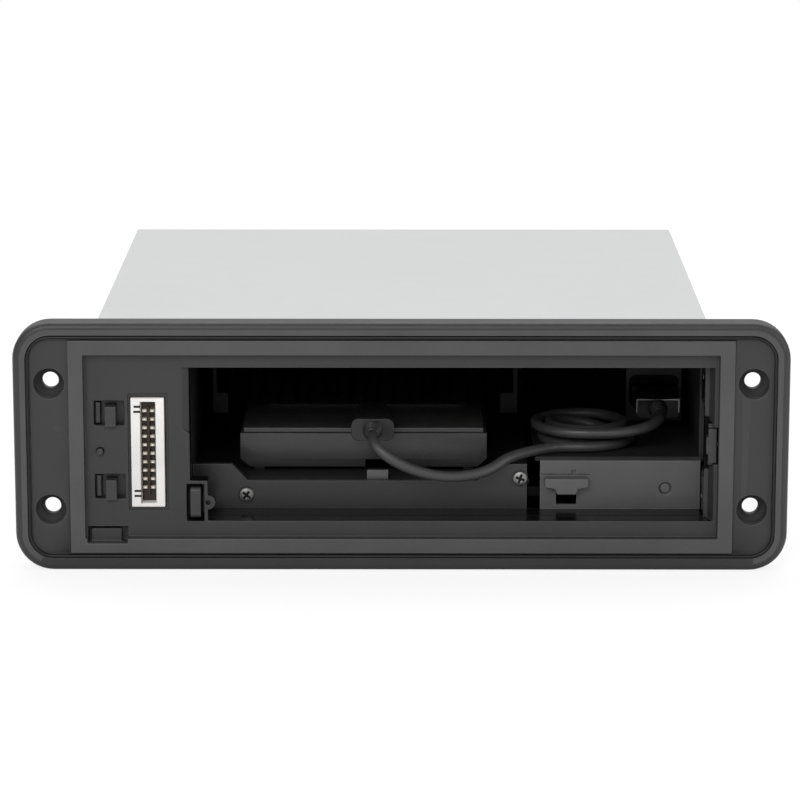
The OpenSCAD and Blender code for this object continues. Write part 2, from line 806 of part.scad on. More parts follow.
module rear_panel() {
  panel_x = inner_x - 0.1;
  flange_z0 = inner_z0 + flange_h + 1;
  color([0.8, 0.8, 0.8]) difference() {
    union() {
      block([-panel_x, panel_x], [rear_y - sheet_t, rear_y], [inner_z0, inner_z1]);
      for (side = [0, 1]) mirror([side, 0, 0])
        block(
          [panel_x - sheet_t, panel_x], [rear_y - sheet_t - rear_flange_l, rear_y],
          [flange_z0, inner_z1 - 0.5]
        );
    }
    side_holes(case_screw_r + pin_gap, flange_x0 - over);
    upright(rear_y - 2 * over, rear_y + over) translate([socket_x, socket_z])
      square([socket_w + 2 * set_gap, socket_h + 2 * set_gap], center = true);
    bar_y(aerial_x, socket_z, rear_y - 2 * over, rear_y + over, aerial_r + set_gap);
    for (x = [-1, 1], z = [-1, 1])
      translate([line_x + x * line_dx / 2, 0, line_z + z * line_dz / 2])
        bar_y(0, 0, rear_y - 2 * over, rear_y + over, line_r + set_gap);
    upright(rear_y - 2 * over, rear_y + over) translate([fuse_x, fuse_z])
      square([fuse_w + 2 * set_gap, fuse_h + 2 * set_gap], center = true);
  }
}

module case_screws() {
  color([0.55, 0.55, 0.55]) for (at = side_screws, side = [0, 1]) mirror([side, 0, 0]) {
    bar_x(case_x, case_x + case_head_h, at[0], at[1], case_head_r);
    bar_x(case_x - case_screw_l, case_x + over, at[0], at[1], case_screw_r);
  }
}

// Stepped channel: the dock's floor on the left and the higher floor of the cable well on the right
module tub_section(t) {
  polygon([
    [tub_x0 - t, tub_top + t], [tub_x1 + t, tub_top + t], [tub_x1 + t, well_z - t],
    [well_x0 + tub_t - t, well_z - t], [well_x0 + tub_t - t, floor_z - t], [tub_x0 - t, floor_z - t]
  ]);
}

module bay_tub() {
  color([0.05, 0.05, 0.05]) difference() {
    union() {
      upright(floor_y, tub_back) difference() {
        tub_section(tub_t);
        tub_section(0);
      }
      upright(tub_back, tub_back + tub_t) tub_section(tub_t);
      // Front of the tub: ceiling and left wall, the sill's shelf and the spring trough under the apron
      block([tub_x0 - tub_t, lug_in - set_gap], [0, floor_y + over], [tub_top, tub_top + tub_t]);
      block([tub_x0 - tub_t, tub_x0], [0, floor_y + over], [trough_z - tub_t, tub_top + tub_t]);
      block([tub_x0 - tub_t, lug_in - set_gap], [0, apron_y + apron_t], [bay_z0 - tub_t, bay_z0]);
      sideways(tub_x0 - tub_t, lug_in - set_gap) polygon([
        [apron_y, bay_z0], [apron_y, trough_z - tub_t], [floor_y + tub_t, trough_z - tub_t],
        [floor_y + tub_t, trough_z], [apron_y + apron_t, trough_z], [apron_y + apron_t, bay_z0]
      ]);
      for (at = apron_screws_at) bar_y(at[0], at[1], apron_y + apron_t, floor_y + apron_boss_in, apron_boss_r);
    }
    for (at = apron_screws_at) bar_y(at[0], at[1], 0, floor_y + apron_screw_in + over, apron_screw_r + pin_gap);
  }
}

module dock_apron() {
  x0 = tub_x0 + 0.1;
  x1 = well_x0 - 1;
  z1 = bay_z0 + apron_h;
  cut_z = bay_z0 + cut_h;
  color([0.22, 0.22, 0.22]) difference() {
    upright(apron_y, apron_y + apron_t) polygon([
      [x0, bay_z0], [x1, bay_z0], [x1, z1], [dock_x + cut_w / 2 + cut_slope, z1], [dock_x + cut_w / 2, cut_z],
      [dock_x - cut_w / 2, cut_z], [dock_x - cut_w / 2 - cut_slope, z1], [x0, z1]
    ]);
    for (at = apron_screws_at) bar_y(at[0], at[1], 0, floor_y, apron_screw_r + pin_gap);
  }
}

module apron_screws() {
  color([0.5, 0.5, 0.5]) for (at = apron_screws_at) difference() {
    union() {
      bar_y(at[0], at[1], apron_y - apron_head_h, apron_y, apron_head_r * 0.82, apron_head_r);
      bar_y(at[0], at[1], apron_y - set_gap, floor_y + apron_screw_in, apron_screw_r);
    }
    for (turn = [0, 90]) translate([at[0], apron_y - apron_head_h, at[1]]) rotate([0, turn + 20, 0])
      cube([apron_slot_l, 2 * apron_slot_d, apron_slot_w], center = true);
  }
}

module control_ledge() {
  x0 = well_x0 + 2.9;
  x1 = lug_in - set_gap;
  color([0.2, 0.2, 0.2]) difference() {
    sideways(x0, x1) polygon([
      [apron_y, bay_z0], [apron_y, well_z], [floor_y - 0.1, well_z], [floor_y - 0.1, well_z - tub_t],
      [apron_y + apron_t, well_z - tub_t], [apron_y + apron_t, bay_z0]
    ]);
    block(
      [tab_x - stem_w / 2 - slide_gap, tab_x + stem_w / 2 + slide_gap], [0, bar_y0],
      [stem_z0 - tab_travel - slide_gap, stem_z1 + slide_gap]
    );
    block([tab_x - tab_w / 2 - 1, tab_x + tab_w / 2 + 0.6], [0, apron_y + 0.6], [tab_z1 + 0.5, tab_z1 + 0.9]);
    block([tab_x + 1.4, tab_x + 2.8], [0, apron_y + 0.9], [tab_z1 + 0.5, tab_z1 + 2.1]);
    bar_y(reset_x, reset_z, 0, floor_y, reset_d / 2 + pin_gap);
    bar_y(reset_x, reset_z, apron_y - 0.5, apron_y + 0.5, reset_d / 2 + 1, reset_d / 2 + pin_gap);
  }
}

// Hanging rail with a lip at its foot; side 1 is the right-hand one
module guide(side, width) {
  edge = dock_x + side * guide_gap / 2;
  color([0.07, 0.07, 0.07]) upright(guide_y0, guide_y1) polygon([
    [edge, lip_z], [edge + side * width, lip_z], [edge + side * width, tub_top],
    [edge + side * (width - guide_t), tub_top], [edge + side * (width - guide_t), lip_z + guide_foot],
    [edge + side * 0.6, lip_z + guide_foot], [edge, lip_z + guide_foot - 0.5]
  ]);
}

module left_guide() {
  guide(-1, left_lip);
}

module right_guide() {
  guide(1, right_lip);
}

module tray_runners() {
  inset = tray_wall + slide_gap;
  rail_y0 = tray_y0 + tray_skin + 2;
  rail_y1 = tub_back - 6;
  rail_z1 = tray_z1 - tray_skin - slide_gap;
  color([0.75, 0.75, 0.72]) for (x = [tray_x0 + inset, tray_x1 - inset - runner_w])
    sideways(x, x + runner_w) polygon([
      [rail_y0, floor_z], [rail_y1, floor_z], [rail_y1, rail_z1],
      [rail_y0 + 4, rail_z1], [rail_y0, rail_z1 - 3]
    ]);
}

module dock_tray() {
  tooth_room = tooth_w / 2 + 2 * slide_gap;
  color([0.1, 0.1, 0.1]) {
    difference() {
      intersection() {
        upright(tray_y0, tray_y1) polygon([
          [tray_x0, tray_z1], [tray_x0, tray_z0 + tray_bevel], [tray_x0 + tray_bevel, tray_z0],
          [tray_x1 - tray_bevel, tray_z0], [tray_x1, tray_z0 + tray_bevel], [tray_x1, tray_z1]
        ]);
        sideways(tray_x0, tray_x1) polygon([
          [tray_y0, tray_z1], [tray_y0, tray_z0 + tray_bevel], [tray_y0 + tray_bevel / 2, tray_z0],
          [tray_y1, tray_z0], [tray_y1, tray_z1]
        ]);
      }
      block(
        [tray_x0 + tray_wall, tray_x1 - tray_wall], [tray_y0 + tray_skin, tray_y1 + over],
        [tray_z0 - over, tray_z1 - tray_skin]
      );
      block(
        [tooth_x - tooth_room, tooth_x + tooth_room], [tray_y0 - over, tray_y0 + tray_skin + over],
        [tray_z0 - over, tooth_z + 2 * slide_gap]
      );
    }
    block(
      [tooth_x - tooth_room, tooth_x + tooth_room], [stop_y, stop_y + tray_skin],
      [tray_z0, tray_z1 - tray_skin / 2]
    );
  }
}

module mat_outline(inset) {
  y0 = tray_y0 + mat_front;
  y1 = tray_y1 - mat_rear;
  translate([dock_x, (y0 + y1) / 2]) rounded_rect(tray_w - 2 * (mat_side + inset), y1 - y0 - 2 * inset, mat_r);
}

module tray_bed() {
  color([0.13, 0.13, 0.13]) difference() {
    block([tray_x0 + bed_inset, tray_x1 - bed_inset], [tray_y0 + bed_inset, tray_y1], [tray_z1, bed_z]);
    translate([0, 0, bed_z - mat_sink]) linear_extrude(mat_sink + over) mat_outline(-set_gap);
  }
}

module tray_mat() {
  color([0.06, 0.06, 0.06]) difference() {
    translate([0, 0, bed_z - mat_sink]) linear_extrude(mat_t) mat_outline(0);
    for (k = [0:mat_ribs - 1])
      translate([dock_x + (k - (mat_ribs - 1) / 2) * mat_rib_pitch, 0, bed_z - mat_sink + mat_t]) block(
        [-mat_rib_w / 2, mat_rib_w / 2], [tray_y0 + mat_front + mat_r, tray_y1 - mat_rear - mat_r],
        [-mat_rib_d, over]
      );
  }
}

module release_tab() {
  lower_w = 6.8;
  color([0.12, 0.12, 0.12]) {
    upright(apron_y - tab_proud, apron_y - slide_gap) polygon([
      [tab_x - tab_w / 2, tab_z1], [tab_x + tab_w / 2, tab_z1], [tab_x + tab_w / 2, tab_z1 - 2.7],
      [tab_x + lower_w / 2, tab_z1 - 3.1], [tab_x + lower_w / 2 - 0.6, tab_z0],
      [tab_x - lower_w / 2 + 0.6, tab_z0],
      [tab_x - lower_w / 2, tab_z1 - 3.1], [tab_x - tab_w / 2, tab_z1 - 2.7]
    ]);
    block([tab_x - stem_w / 2, tab_x + stem_w / 2], [apron_y - tab_proud / 2, bar_y0], [stem_z0, stem_z1]);
  }
}

module latch_bar() {
  color([0.1, 0.1, 0.1]) upright(bar_y0, bar_y1) polygon([
    [tooth_x - tooth_w / 2, bar_z0], [tab_x + stem_w / 2, bar_z0], [tab_x + stem_w / 2, stem_z1],
    [tab_x - stem_w / 2, stem_z1], [tab_x - stem_w / 2, bar_z1], [tooth_x + tooth_w / 2, bar_z1],
    [tooth_x + tooth_w / 2, tooth_z], [tooth_x - tooth_w / 2, tooth_z]
  ]);
}

module latch_spring() {
  color([0.6, 0.6, 0.6]) translate([latch_spring_x, (bar_y0 + bar_y1) / 2, trough_z])
    coil_spring(bar_z0 - trough_z, 1.05, 0.2, 6);
}

module reset_button() {
  color([0.15, 0.15, 0.15]) {
    bar_y(reset_x, reset_z, apron_y + 0.5, floor_y - set_gap, reset_d / 2);
    bar_y(reset_x, reset_z, apron_y + apron_t + slide_gap, apron_y + apron_t + 1.2, reset_d / 2 + 0.8);
  }
}

module reset_switch() {
  plunger_y = floor_y - set_gap + reset_travel + touch_gap;
  body_y = plunger_y + reset_travel;
  board_y = body_y + switch_t;
  color([0.1, 0.1, 0.1]) {
    bar_y(reset_x, reset_z, plunger_y, body_y + over, reset_d / 2);
    translate([reset_x, 0, reset_z]) upright(body_y, board_y + set_gap) square(switch_w, center = true);
    translate([reset_x, 0, 0])
      block([-switch_w, switch_w], [board_y, board_y + sheet_t], [board_top, well_z - tub_t]);
  }
}

module panel_connector() {
  slot_x = conn_x + 0.15;
  color([0.93, 0.93, 0.9]) difference() {
    block(
      [conn_x - conn_w / 2, conn_x + conn_w / 2], [recess_y - 0.3, conn_back],
      [conn_z - conn_h / 2, conn_z + conn_h / 2]
    );
    block(
      [slot_x - slot_w / 2, slot_x + slot_w / 2], [front_y, recess_y + 6],
      [conn_z - slot_h / 2, conn_z + slot_h / 2]
    );
    for (z = [conn_z + 12.9, conn_z - 12.2], dz = [-0.75, 0.75])
      block([slot_x - slot_w / 2 - 1.9, slot_x], [front_y, recess_y + 0.5], [z + dz - 0.3, z + dz + 0.3]);
  }
}

module connector_core() {
  slot_x = conn_x + 0.15;
  rib_w = row_gap + pin_w - 2 * contact_w - 2 * contact_gap;
  color([0.1, 0.08, 0.07]) {
    block(
      [slot_x - slot_w / 2 + 0.02, slot_x + slot_w / 2 - 0.02], [recess_y + core_in, recess_y + 6],
      [conn_z - slot_h / 2 + 0.02, conn_z + slot_h / 2 - 0.02]
    );
    block(
      [slot_x - rib_w / 2, slot_x + rib_w / 2], [recess_y + 1.6, recess_y + 4],
      [conn_z - slot_h / 2 + 2, conn_z + slot_h / 2 - 2]
    );
  }
}

module connector_pins() {
  color([0.85, 0.68, 0.3]) for (side = [-1, 1], k = [0:pins_per_row - 1]) {
    x = conn_x + 0.15 + side * row_gap / 2;
    z = conn_z + (k - (pins_per_row - 1) / 2) * pin_pitch + 0.7;
    block([x - pin_w / 2, x + pin_w / 2], [recess_y + 1, recess_y + 8], [z - pin_w / 2, z + pin_w / 2]);
    translate([x + side * pin_w / 2, 0, z]) mirror([side > 0 ? 1 : 0, 0, 0])
      block([0, contact_w], [recess_y + 1, recess_y + core_in - touch_gap], [-contact_t / 2, contact_t / 2]);
  }
}

module front_board() {
  color([0.1, 0.3, 0.16]) block(
    [-front_board_x0, front_board_x1], [front_board_y, front_board_y + board_t], [board_top + 2, bay_z1]
  );
}

module front_ribbon() {
  ribbon_y = front_board_y + board_t;
  foot_y = board_y0 + ribbon_run;
  foot_z = board_top + ribbon_t;
  ribbon_x1 = front_board_x1 - sheet_t;
  color([0.75, 0.75, 0.75]) sideways(ribbon_x1 - ribbon_w, ribbon_x1) polygon([
    [ribbon_y, foot_z + ribbon_rise], [ribbon_y + ribbon_t, foot_z + ribbon_rise],
    [ribbon_y + ribbon_t, foot_z + ribbon_bend], [ribbon_y + ribbon_t + ribbon_bend, foot_z], [foot_y, foot_z],
    [foot_y, foot_z - ribbon_t], [ribbon_y + ribbon_bend, foot_z - ribbon_t],
    [ribbon_y, foot_z + ribbon_bend - ribbon_t / 2]
  ]);
}

module panel_hooks() {
  strip_y0 = skin_y + 0.1;
  strip_y1 = strip_y0 + 1.8;
  strip_x0 = hook_x - 5.6;
  color([0.16, 0.16, 0.16]) {
    difference() {
      block(
        [strip_x0, hook_x + window_w - 4.2], [strip_y0, strip_y1],
        [hook_zs[1] - window_h / 2 - 1, hook_zs[0] + window_h / 2 + 1]
      );
      bar_y(sense_x, sense_z, strip_y0 - over, strip_y1 + over, sense_d / 2 + 1.3);
    }
    for (z = hook_zs) {
      sideways(hook_x - hook_w / 2, hook_x + hook_w / 2) polygon([
        [strip_y0 + 0.2, z + hook_h / 2 - 0.8], [recess_y - slide_gap - hook_drop_t, z + hook_h / 2 - 0.8],
        [recess_y - slide_gap - hook_drop_t, z - hook_h / 2 - 0.8],
        [recess_y - slide_gap, z - hook_h / 2 - 0.8],
        [recess_y - slide_gap, z + hook_h / 2 - 3.2], [strip_y0 + 0.2, z + hook_h / 2 - 3.2]
      ]);
      block(
        [hook_x - 4.4, hook_x - 3], [recess_y + 0.8, strip_y0 + 0.2],
        [z - window_h / 2 + 0.5, z + window_h / 2 - 0.5]
      );
    }
  }
}

module sense_pin() {
  color([0.1, 0.1, 0.1]) {
    bar_y(sense_x, sense_z, recess_y - sense_travel - set_gap, skin_y + sense_l, sense_d / 2);
    bar_y(sense_x, sense_z, skin_y + slide_gap, skin_y + 1.2, sense_d / 2 + 0.8);
  }
}

module sense_switch() {
  x0 = sense_x - sense_offset;
  y0 = skin_y + sense_l + sense_travel + touch_gap;
  color([0.1, 0.1, 0.1])
    block([x0, x0 + switch_w], [y0, front_board_y], [sense_z - switch_w / 2, sense_z + switch_w / 2]);
}

module panel_ejector() {
  color([0.13, 0.13, 0.13]) {
    difference() {
      block(
        [ejector_x - ejector_w / 2, ejector_x + ejector_w / 2], [recess_y - 0.4, 1],
        [ejector_z - ejector_h / 2, ejector_z + ejector_h / 2]
      );
      for (up = [-1, 1]) translate([ejector_x, recess_y - 0.4, ejector_z + up * ejector_h / 2])
        rotate([45, 0, 0]) cube([2 * ejector_w, 1, 1], center = true);
    }
    block(
      [ejector_x - ejector_w / 2, ejector_x + ejector_w / 2 + ejector_room + ejector_lip],
      [slide_gap, ejector_back], [ejector_z - ejector_h / 2, ejector_z + ejector_h / 2 + ejector_room + ejector_lip]
    );
  }
}

module ejector_spring() {
  color([0.6, 0.6, 0.6]) translate([ejector_x, ejector_back, ejector_z]) rotate([-90, 0, 0])
    coil_spring(apron_y - ejector_back, 1.2, 0.2, 5);
}

module panel_catch() {
  color([0.25, 0.25, 0.25]) {
    block(
      [catch_x, catch_x + catch_w], [recess_y + 0.2, catch_y1 - slide_gap],
      [catch_z - catch_h / 2, catch_z + catch_h / 2]
    );
    block(
      [catch_x, catch_x + catch_w], [catch_y0 + slide_gap, catch_y1 - slide_gap],
      [catch_z - catch_h / 2 - 1, catch_z + catch_h / 2 + 1]
    );
    upright(recess_y + 0.6, catch_y1 - slide_gap) polygon([
      [catch_x + 0.2, catch_z - 3], [catch_x + 0.2, catch_z + 3],
      [catch_x - catch_nose, catch_z + 2.4], [catch_x - catch_nose, catch_z - 2.4]
    ]);
  }
}

module catch_spring() {
  color([0.6, 0.6, 0.6]) translate([catch_x + catch_w, (catch_y0 + catch_y1) / 2, catch_z]) rotate([0, 90, 0])
    coil_spring(spring_room, 0.85, 0.15, 6);
}

module catch_keeper() {
  color([0.1, 0.1, 0.1]) block(
    [bay_x1, catch_x + catch_w + spring_room + 1 - set_gap], [catch_y1 + 0.3, catch_y1 + 1.5],
    [catch_z - catch_h / 2 - 2.6 + set_gap, catch_z + catch_h / 2 + 2.6 - set_gap]
  );
}

module socket_outline(w, h) {
  translate([usb_x, usb_z]) square([w, h], center = true);
}

module usb_bracket() {
  wing_w = 8.7;
  bracket_t = 2;
  foot_l = 8;
  color([0.12, 0.12, 0.12]) difference() {
    union() {
      block([usb_x - wing_w, usb_x + wing_w], [usb_y, usb_y + bracket_t], [well_z, tub_top]);
      block([usb_x - wing_w, usb_x + wing_w], [usb_y, usb_y + foot_l], [tub_top - tub_t, tub_top]);
    }
    upright(0, bay_l) socket_outline(socket_mouth_w + 2 * set_gap, socket_mouth_h + 2 * set_gap);
    translate([usb_x, 0, usb_z + pocket_z]) upright(usb_y - over, usb_y + pocket_d)
      rounded_rect(pocket_w, pocket_h, 2);
  }
}

module usb_socket() {
  shell_l = 14;
  color([0.78, 0.78, 0.78]) {
    difference() {
      upright(usb_face, usb_face + shell_l) socket_outline(socket_mouth_w, socket_mouth_h);
      upright(usb_face - over, usb_face + shell_l - 1) 
        socket_outline(socket_mouth_w - 2 * metal_t, socket_mouth_h - 2 * metal_t);
    }
    upright(usb_face + 1, usb_face + shell_l) translate([0, 0.5]) socket_outline(10.4, 1.6);
    upright(usb_y + 2, usb_y + 3) difference() {
      socket_outline(socket_mouth_w + 2.2, socket_mouth_h + 2.2);
      socket_outline(socket_mouth_w - metal_t, socket_mouth_h - metal_t);
    }
  }
}

module usb_plug() {
  tip_l = 11;
  color([0.09, 0.09, 0.09]) {
    difference() {
      upright(plug_y0, plug_y1) translate([usb_x, usb_z]) rounded_rect(plug_w, plug_h, 1.6);
      for (up = [-1, 1], k = [0:3])
        block(
          [usb_x - plug_w / 4, usb_x + plug_w / 4], [plug_y0 + 4 + 2.6 * k, plug_y0 + 5.2 + 2.6 * k],
          [usb_z + up * plug_h / 2 - 0.4, usb_z + up * plug_h / 2 + 0.4]
        );
    }
    bar_y(usb_x, usb_z, plug_y0 - boot_l, plug_y0 + over, 2, plug_h / 2 - 0.2);
    difference() {
      upright(plug_y1 - over, plug_y1 + tip_l) socket_outline(tip_w, tip_h);
      upright(plug_y1, plug_y1 + tip_l + over) socket_outline(tip_w - 2 * metal_t, tip_h - 2 * metal_t);
    }
  }
}

module cable_tail() {
  color([0.11, 0.11, 0.11]) tube(tail_points, cable_d / 2, 8);
}

module cable_coil() {
  color([0.11, 0.11, 0.11]) tube(coil_path, cable_d / 2, 6);
}

module cable_lead() {
  color([0.11, 0.11, 0.11]) tube(lead_points, cable_d / 2, 8);
}

module micro_plug() {
  micro_tip_w = 6.85;
  micro_tip_h = 1.8;
  micro_tip_l = 6.5;
  micro_y1 = micro_y0 + micro_l;
  collar_y0 = micro_y0 - collar_l;
  color([0.09, 0.09, 0.09]) {
    translate([micro_x, 0, micro_z]) {
      upright(micro_y0 - over, micro_y1) polygon([
        [-micro_w / 2, micro_h / 2 - 2], [1.6 - micro_w / 2, micro_h / 2], [micro_w / 2 - 1.6, micro_h / 2],
        [micro_w / 2, micro_h / 2 - 2], [micro_w / 2, 0.8 - micro_h / 2], [micro_w / 2 - 0.8, -micro_h / 2],
        [0.8 - micro_w / 2, -micro_h / 2], [-micro_w / 2, 0.8 - micro_h / 2]
      ]);
      upright(micro_y1 - over, micro_y1 + micro_tip_l) square([micro_tip_w, micro_tip_h], center = true);
    }
    translate([micro_x, 0, collar_z]) upright(collar_y0, micro_y0) rounded_rect(collar_w, collar_h, 2.2);
    bar_y(micro_x, collar_z, collar_y0 - 6, collar_y0 + over, 2, 2.8);
  }
}

module main_board() {
  color([0.1, 0.32, 0.17]) difference() {
    block([-board_x, board_x], [board_y0, board_y1], [board_z, board_top]);
    for (x = [-post_x, post_x], y = post_ys)
      translate([x, y, board_z - over]) cylinder(r = case_screw_r + 2 * pin_gap, h = board_t + 2 * over);
  }
}

module board_screws() {
  color([0.6, 0.6, 0.6]) for (x = [-post_x, post_x], y = post_ys) translate([x, y, 0]) {
    translate([0, 0, board_top]) cylinder(r = case_head_r, h = case_head_h);
    translate([0, 0, inner_z0 + 0.4]) cylinder(r = case_screw_r, h = board_top - inner_z0);
  }
}

module processor_chip() {
  color([0.08, 0.08, 0.08]) translate([dock_x, board_y0 + chip_from, board_top]) linear_extrude(chip_t)
    square(chip_w, center = true);
}

module tuner_can() {
  can_x0 = well_x0 - can_left;
  can_y1 = board_y1 - can_from;
  can_top = floor_z - tub_t - can_gap;
  color([0.78, 0.78, 0.78]) difference() {
    block([can_x0, can_x0 + can_w], [can_y1 - can_l, can_y1], [board_top, can_top]);
    for (k = [-1:1]) translate([can_x0 + can_w / 2 + k * can_hole_pitch, can_y1 - can_l / 2, can_top - can_gap])
      cylinder(r = can_hole_r, h = can_gap + over);
  }
}

module amplifier_chip() {
  y1 = rear_y - sheet_t;
  leg_y = y1 - (amp_t + amp_leg_t) / 2;
  body_z = board_top + amp_leg_l;
  color([0.07, 0.07, 0.07]) {
    block([sink_x - amp_w / 2, sink_x + amp_w / 2], [y1 - amp_t, y1], [body_z, body_z + amp_h]);
    for (k = [-4:4]) translate([sink_x + amp_leg_pitch * k, 0, 0])
      block([-amp_leg_w / 2, amp_leg_w / 2], [leg_y, leg_y + amp_leg_t], [board_top, body_z + over]);
  }
}

module power_capacitors() {
  first_y = post_ys[1] + case_head_r + cap_gap + cap_r;
  color([0.12, 0.14, 0.2]) for (k = [0:cap_count - 1])
    translate([left_mid, first_y + k * (2 * cap_r + cap_gap), board_top]) difference() {
      cylinder(r = cap_r, h = cap_h);
      translate([0, 0, cap_bead_z]) rotate_extrude() translate([cap_r + cap_bead_r / 2, 0]) circle(cap_bead_r);
    }
}

module filter_choke() {
  color([0.6, 0.35, 0.15]) translate([left_mid, choke_y, board_top + choke_wire])
    rotate_extrude() translate([choke_r, 0]) circle(choke_wire);
}

module heat_sink() {
  pitch = (sink_w - fin_t) / (fin_count - 1);
  z0 = (case_z0 + case_z1 - sink_h) / 2;
  color([0.3, 0.3, 0.3]) translate([sink_x - sink_w / 2, rear_y, z0]) linear_extrude(sink_h) {
    square([sink_w, sink_base]);
    for (k = [0:fin_count - 1]) translate([k * pitch, 0]) square([fin_t, sink_base + fin_l]);
  }
}

module power_socket() {
  mouth_y = rear_y + socket_out;
  color([0.1, 0.1, 0.1]) translate([socket_x, 0, socket_z]) difference() {
    upright(rear_y - socket_in, mouth_y) square([socket_w, socket_h], center = true);
    upright(rear_y - socket_floor, mouth_y + over)
      square([socket_w - 2 * socket_wall, socket_h - 2 * socket_wall], center = true);
    upright(mouth_y - socket_key_l, mouth_y + over) translate([0, socket_h / 2])
      square([socket_key_w, 2 * (socket_wall + over)], center = true);
  }
}

module power_pins() {
  pins = 8;
  color([0.8, 0.7, 0.4]) for (k = [0:pins - 1], up = [-1, 1]) {
    x = socket_x + (k - (pins - 1) / 2) * socket_pitch;
    z = socket_z + up * power_row / 2;
    block(
      [x - power_pin_w / 2, x + power_pin_w / 2], [rear_y - power_pin_in, rear_y + socket_key_l],
      [z - power_pin_t / 2, z + power_pin_t / 2]
    );
  }
}

module aerial_socket() {
  color([0.75, 0.75, 0.75]) difference() {
    union() {
      bar_y(aerial_x, socket_z, rear_y - aerial_l, rear_y + aerial_l, aerial_r);
      bar_y(aerial_x, socket_z, rear_y, rear_y + aerial_flange_t, aerial_r + aerial_flange);
      bar_y(aerial_x, socket_z, rear_y - sheet_t - aerial_nut_t, rear_y - sheet_t, aerial_r + aerial_nut);
    }
    difference() {
      bar_y(aerial_x, socket_z, rear_y - aerial_l * 2 / 3, rear_y + aerial_l + over, aerial_r - aerial_wall);
      bar_y(aerial_x, socket_z, rear_y - aerial_l, rear_y + aerial_l * 2 / 3, aerial_core_r);
    }
    bar_y(aerial_x, socket_z, rear_y - aerial_l / 2, rear_y + aerial_l, aerial_bore_r);
  }
}

module line_out_sockets() {
  color([0.1, 0.1, 0.1]) {
    block(
      [line_x - line_w / 2, line_x + line_w / 2], [rear_y - line_in, rear_y - sheet_t],
      [line_z - line_h / 2, line_z + line_h / 2]
    );
    for (x = [-1, 1], z = [-1, 1]) translate([x * line_dx / 2, 0, z * line_dz / 2]) difference() {
      bar_y(line_x, line_z, rear_y - sheet_t - over, rear_y + line_l, line_r);
      bar_y(line_x, line_z, rear_y, rear_y + line_l + over, line_bore_r);
    }
  }
}

module fuse_holder() {
  color([0.12, 0.12, 0.12]) translate([fuse_x, 0, fuse_z]) difference() {
    upright(rear_y - fuse_in, rear_y + fuse_lip) square([fuse_w, fuse_h], center = true);
    upright(rear_y - fuse_depth, rear_y + fuse_lip + over)
      square([fuse_w - 2 * fuse_wall_x, fuse_h - 2 * fuse_wall_z], center = true);
  }
}

module blade_fuse() {
  body_w = fuse_w - 2 * (fuse_wall_x + fuse_gap);
  body_h = fuse_h - 2 * (fuse_wall_z + set_gap);
  color([0.75, 0.3, 0.15]) translate([fuse_x, 0, fuse_z]) {
    upright(rear_y - over, rear_y + fuse_grip) square([body_w, body_h], center = true);
    for (up = [-1, 1]) upright(rear_y - fuse_depth, rear_y) translate([0, up * (body_h - fuse_blade_w) / 2])
      square([fuse_blade_t, fuse_blade_w], center = true);
  }
}

front_bezel();
face_seal();
mounting_gasket();
chassis_base();
top_cover();
rear_panel();
case_screws();
bay_tub();
dock_apron();
apron_screws();
control_ledge();
left_guide();
right_guide();
tray_runners();
dock_tray();
tray_bed();
tray_mat();
release_tab();
latch_bar();
latch_spring();
reset_button();
reset_switch();
panel_connector();
connector_core();
connector_pins();
front_board();
front_ribbon();
panel_hooks();
sense_pin();
sense_switch();
panel_ejector();
ejector_spring();
panel_catch();
catch_spring();
catch_keeper();
usb_bracket();
usb_socket();
usb_plug();
cable_tail();
cable_coil();
cable_lead();
micro_plug();
main_board();
board_screws();
processor_chip();
tuner_can();
amplifier_chip();
power_capacitors();
filter_choke();
heat_sink();
power_socket();
power_pins();
aerial_socket();
line_out_sockets();
fuse_holder();
blade_fuse();
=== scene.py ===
import json
import math

import bmesh
import bpy
import numpy as np
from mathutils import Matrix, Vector
from mathutils.kdtree import KDTree

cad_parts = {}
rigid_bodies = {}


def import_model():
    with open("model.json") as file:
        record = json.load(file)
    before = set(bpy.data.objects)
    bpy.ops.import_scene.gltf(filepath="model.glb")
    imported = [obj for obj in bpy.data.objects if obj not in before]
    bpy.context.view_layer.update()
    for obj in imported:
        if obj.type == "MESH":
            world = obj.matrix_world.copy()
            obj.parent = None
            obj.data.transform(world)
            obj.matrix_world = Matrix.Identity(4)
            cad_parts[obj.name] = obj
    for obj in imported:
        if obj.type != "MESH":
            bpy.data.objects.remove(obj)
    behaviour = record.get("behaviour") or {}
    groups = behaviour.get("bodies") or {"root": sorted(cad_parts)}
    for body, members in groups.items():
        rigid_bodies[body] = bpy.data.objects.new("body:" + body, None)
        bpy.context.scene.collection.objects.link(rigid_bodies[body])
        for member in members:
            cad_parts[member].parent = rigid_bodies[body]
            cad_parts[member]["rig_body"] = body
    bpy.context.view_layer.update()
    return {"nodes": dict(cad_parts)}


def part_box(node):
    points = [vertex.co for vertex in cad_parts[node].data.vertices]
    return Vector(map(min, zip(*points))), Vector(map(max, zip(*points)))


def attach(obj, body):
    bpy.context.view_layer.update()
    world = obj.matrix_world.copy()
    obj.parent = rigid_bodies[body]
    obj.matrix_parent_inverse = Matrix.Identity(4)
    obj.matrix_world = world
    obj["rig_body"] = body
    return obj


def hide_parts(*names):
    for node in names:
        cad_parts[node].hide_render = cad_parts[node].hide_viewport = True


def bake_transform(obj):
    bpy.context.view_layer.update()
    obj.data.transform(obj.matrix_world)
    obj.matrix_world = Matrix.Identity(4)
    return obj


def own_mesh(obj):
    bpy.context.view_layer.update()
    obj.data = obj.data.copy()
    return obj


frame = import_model()
scene = bpy.context.scene
scene.view_settings.view_transform = "Standard"


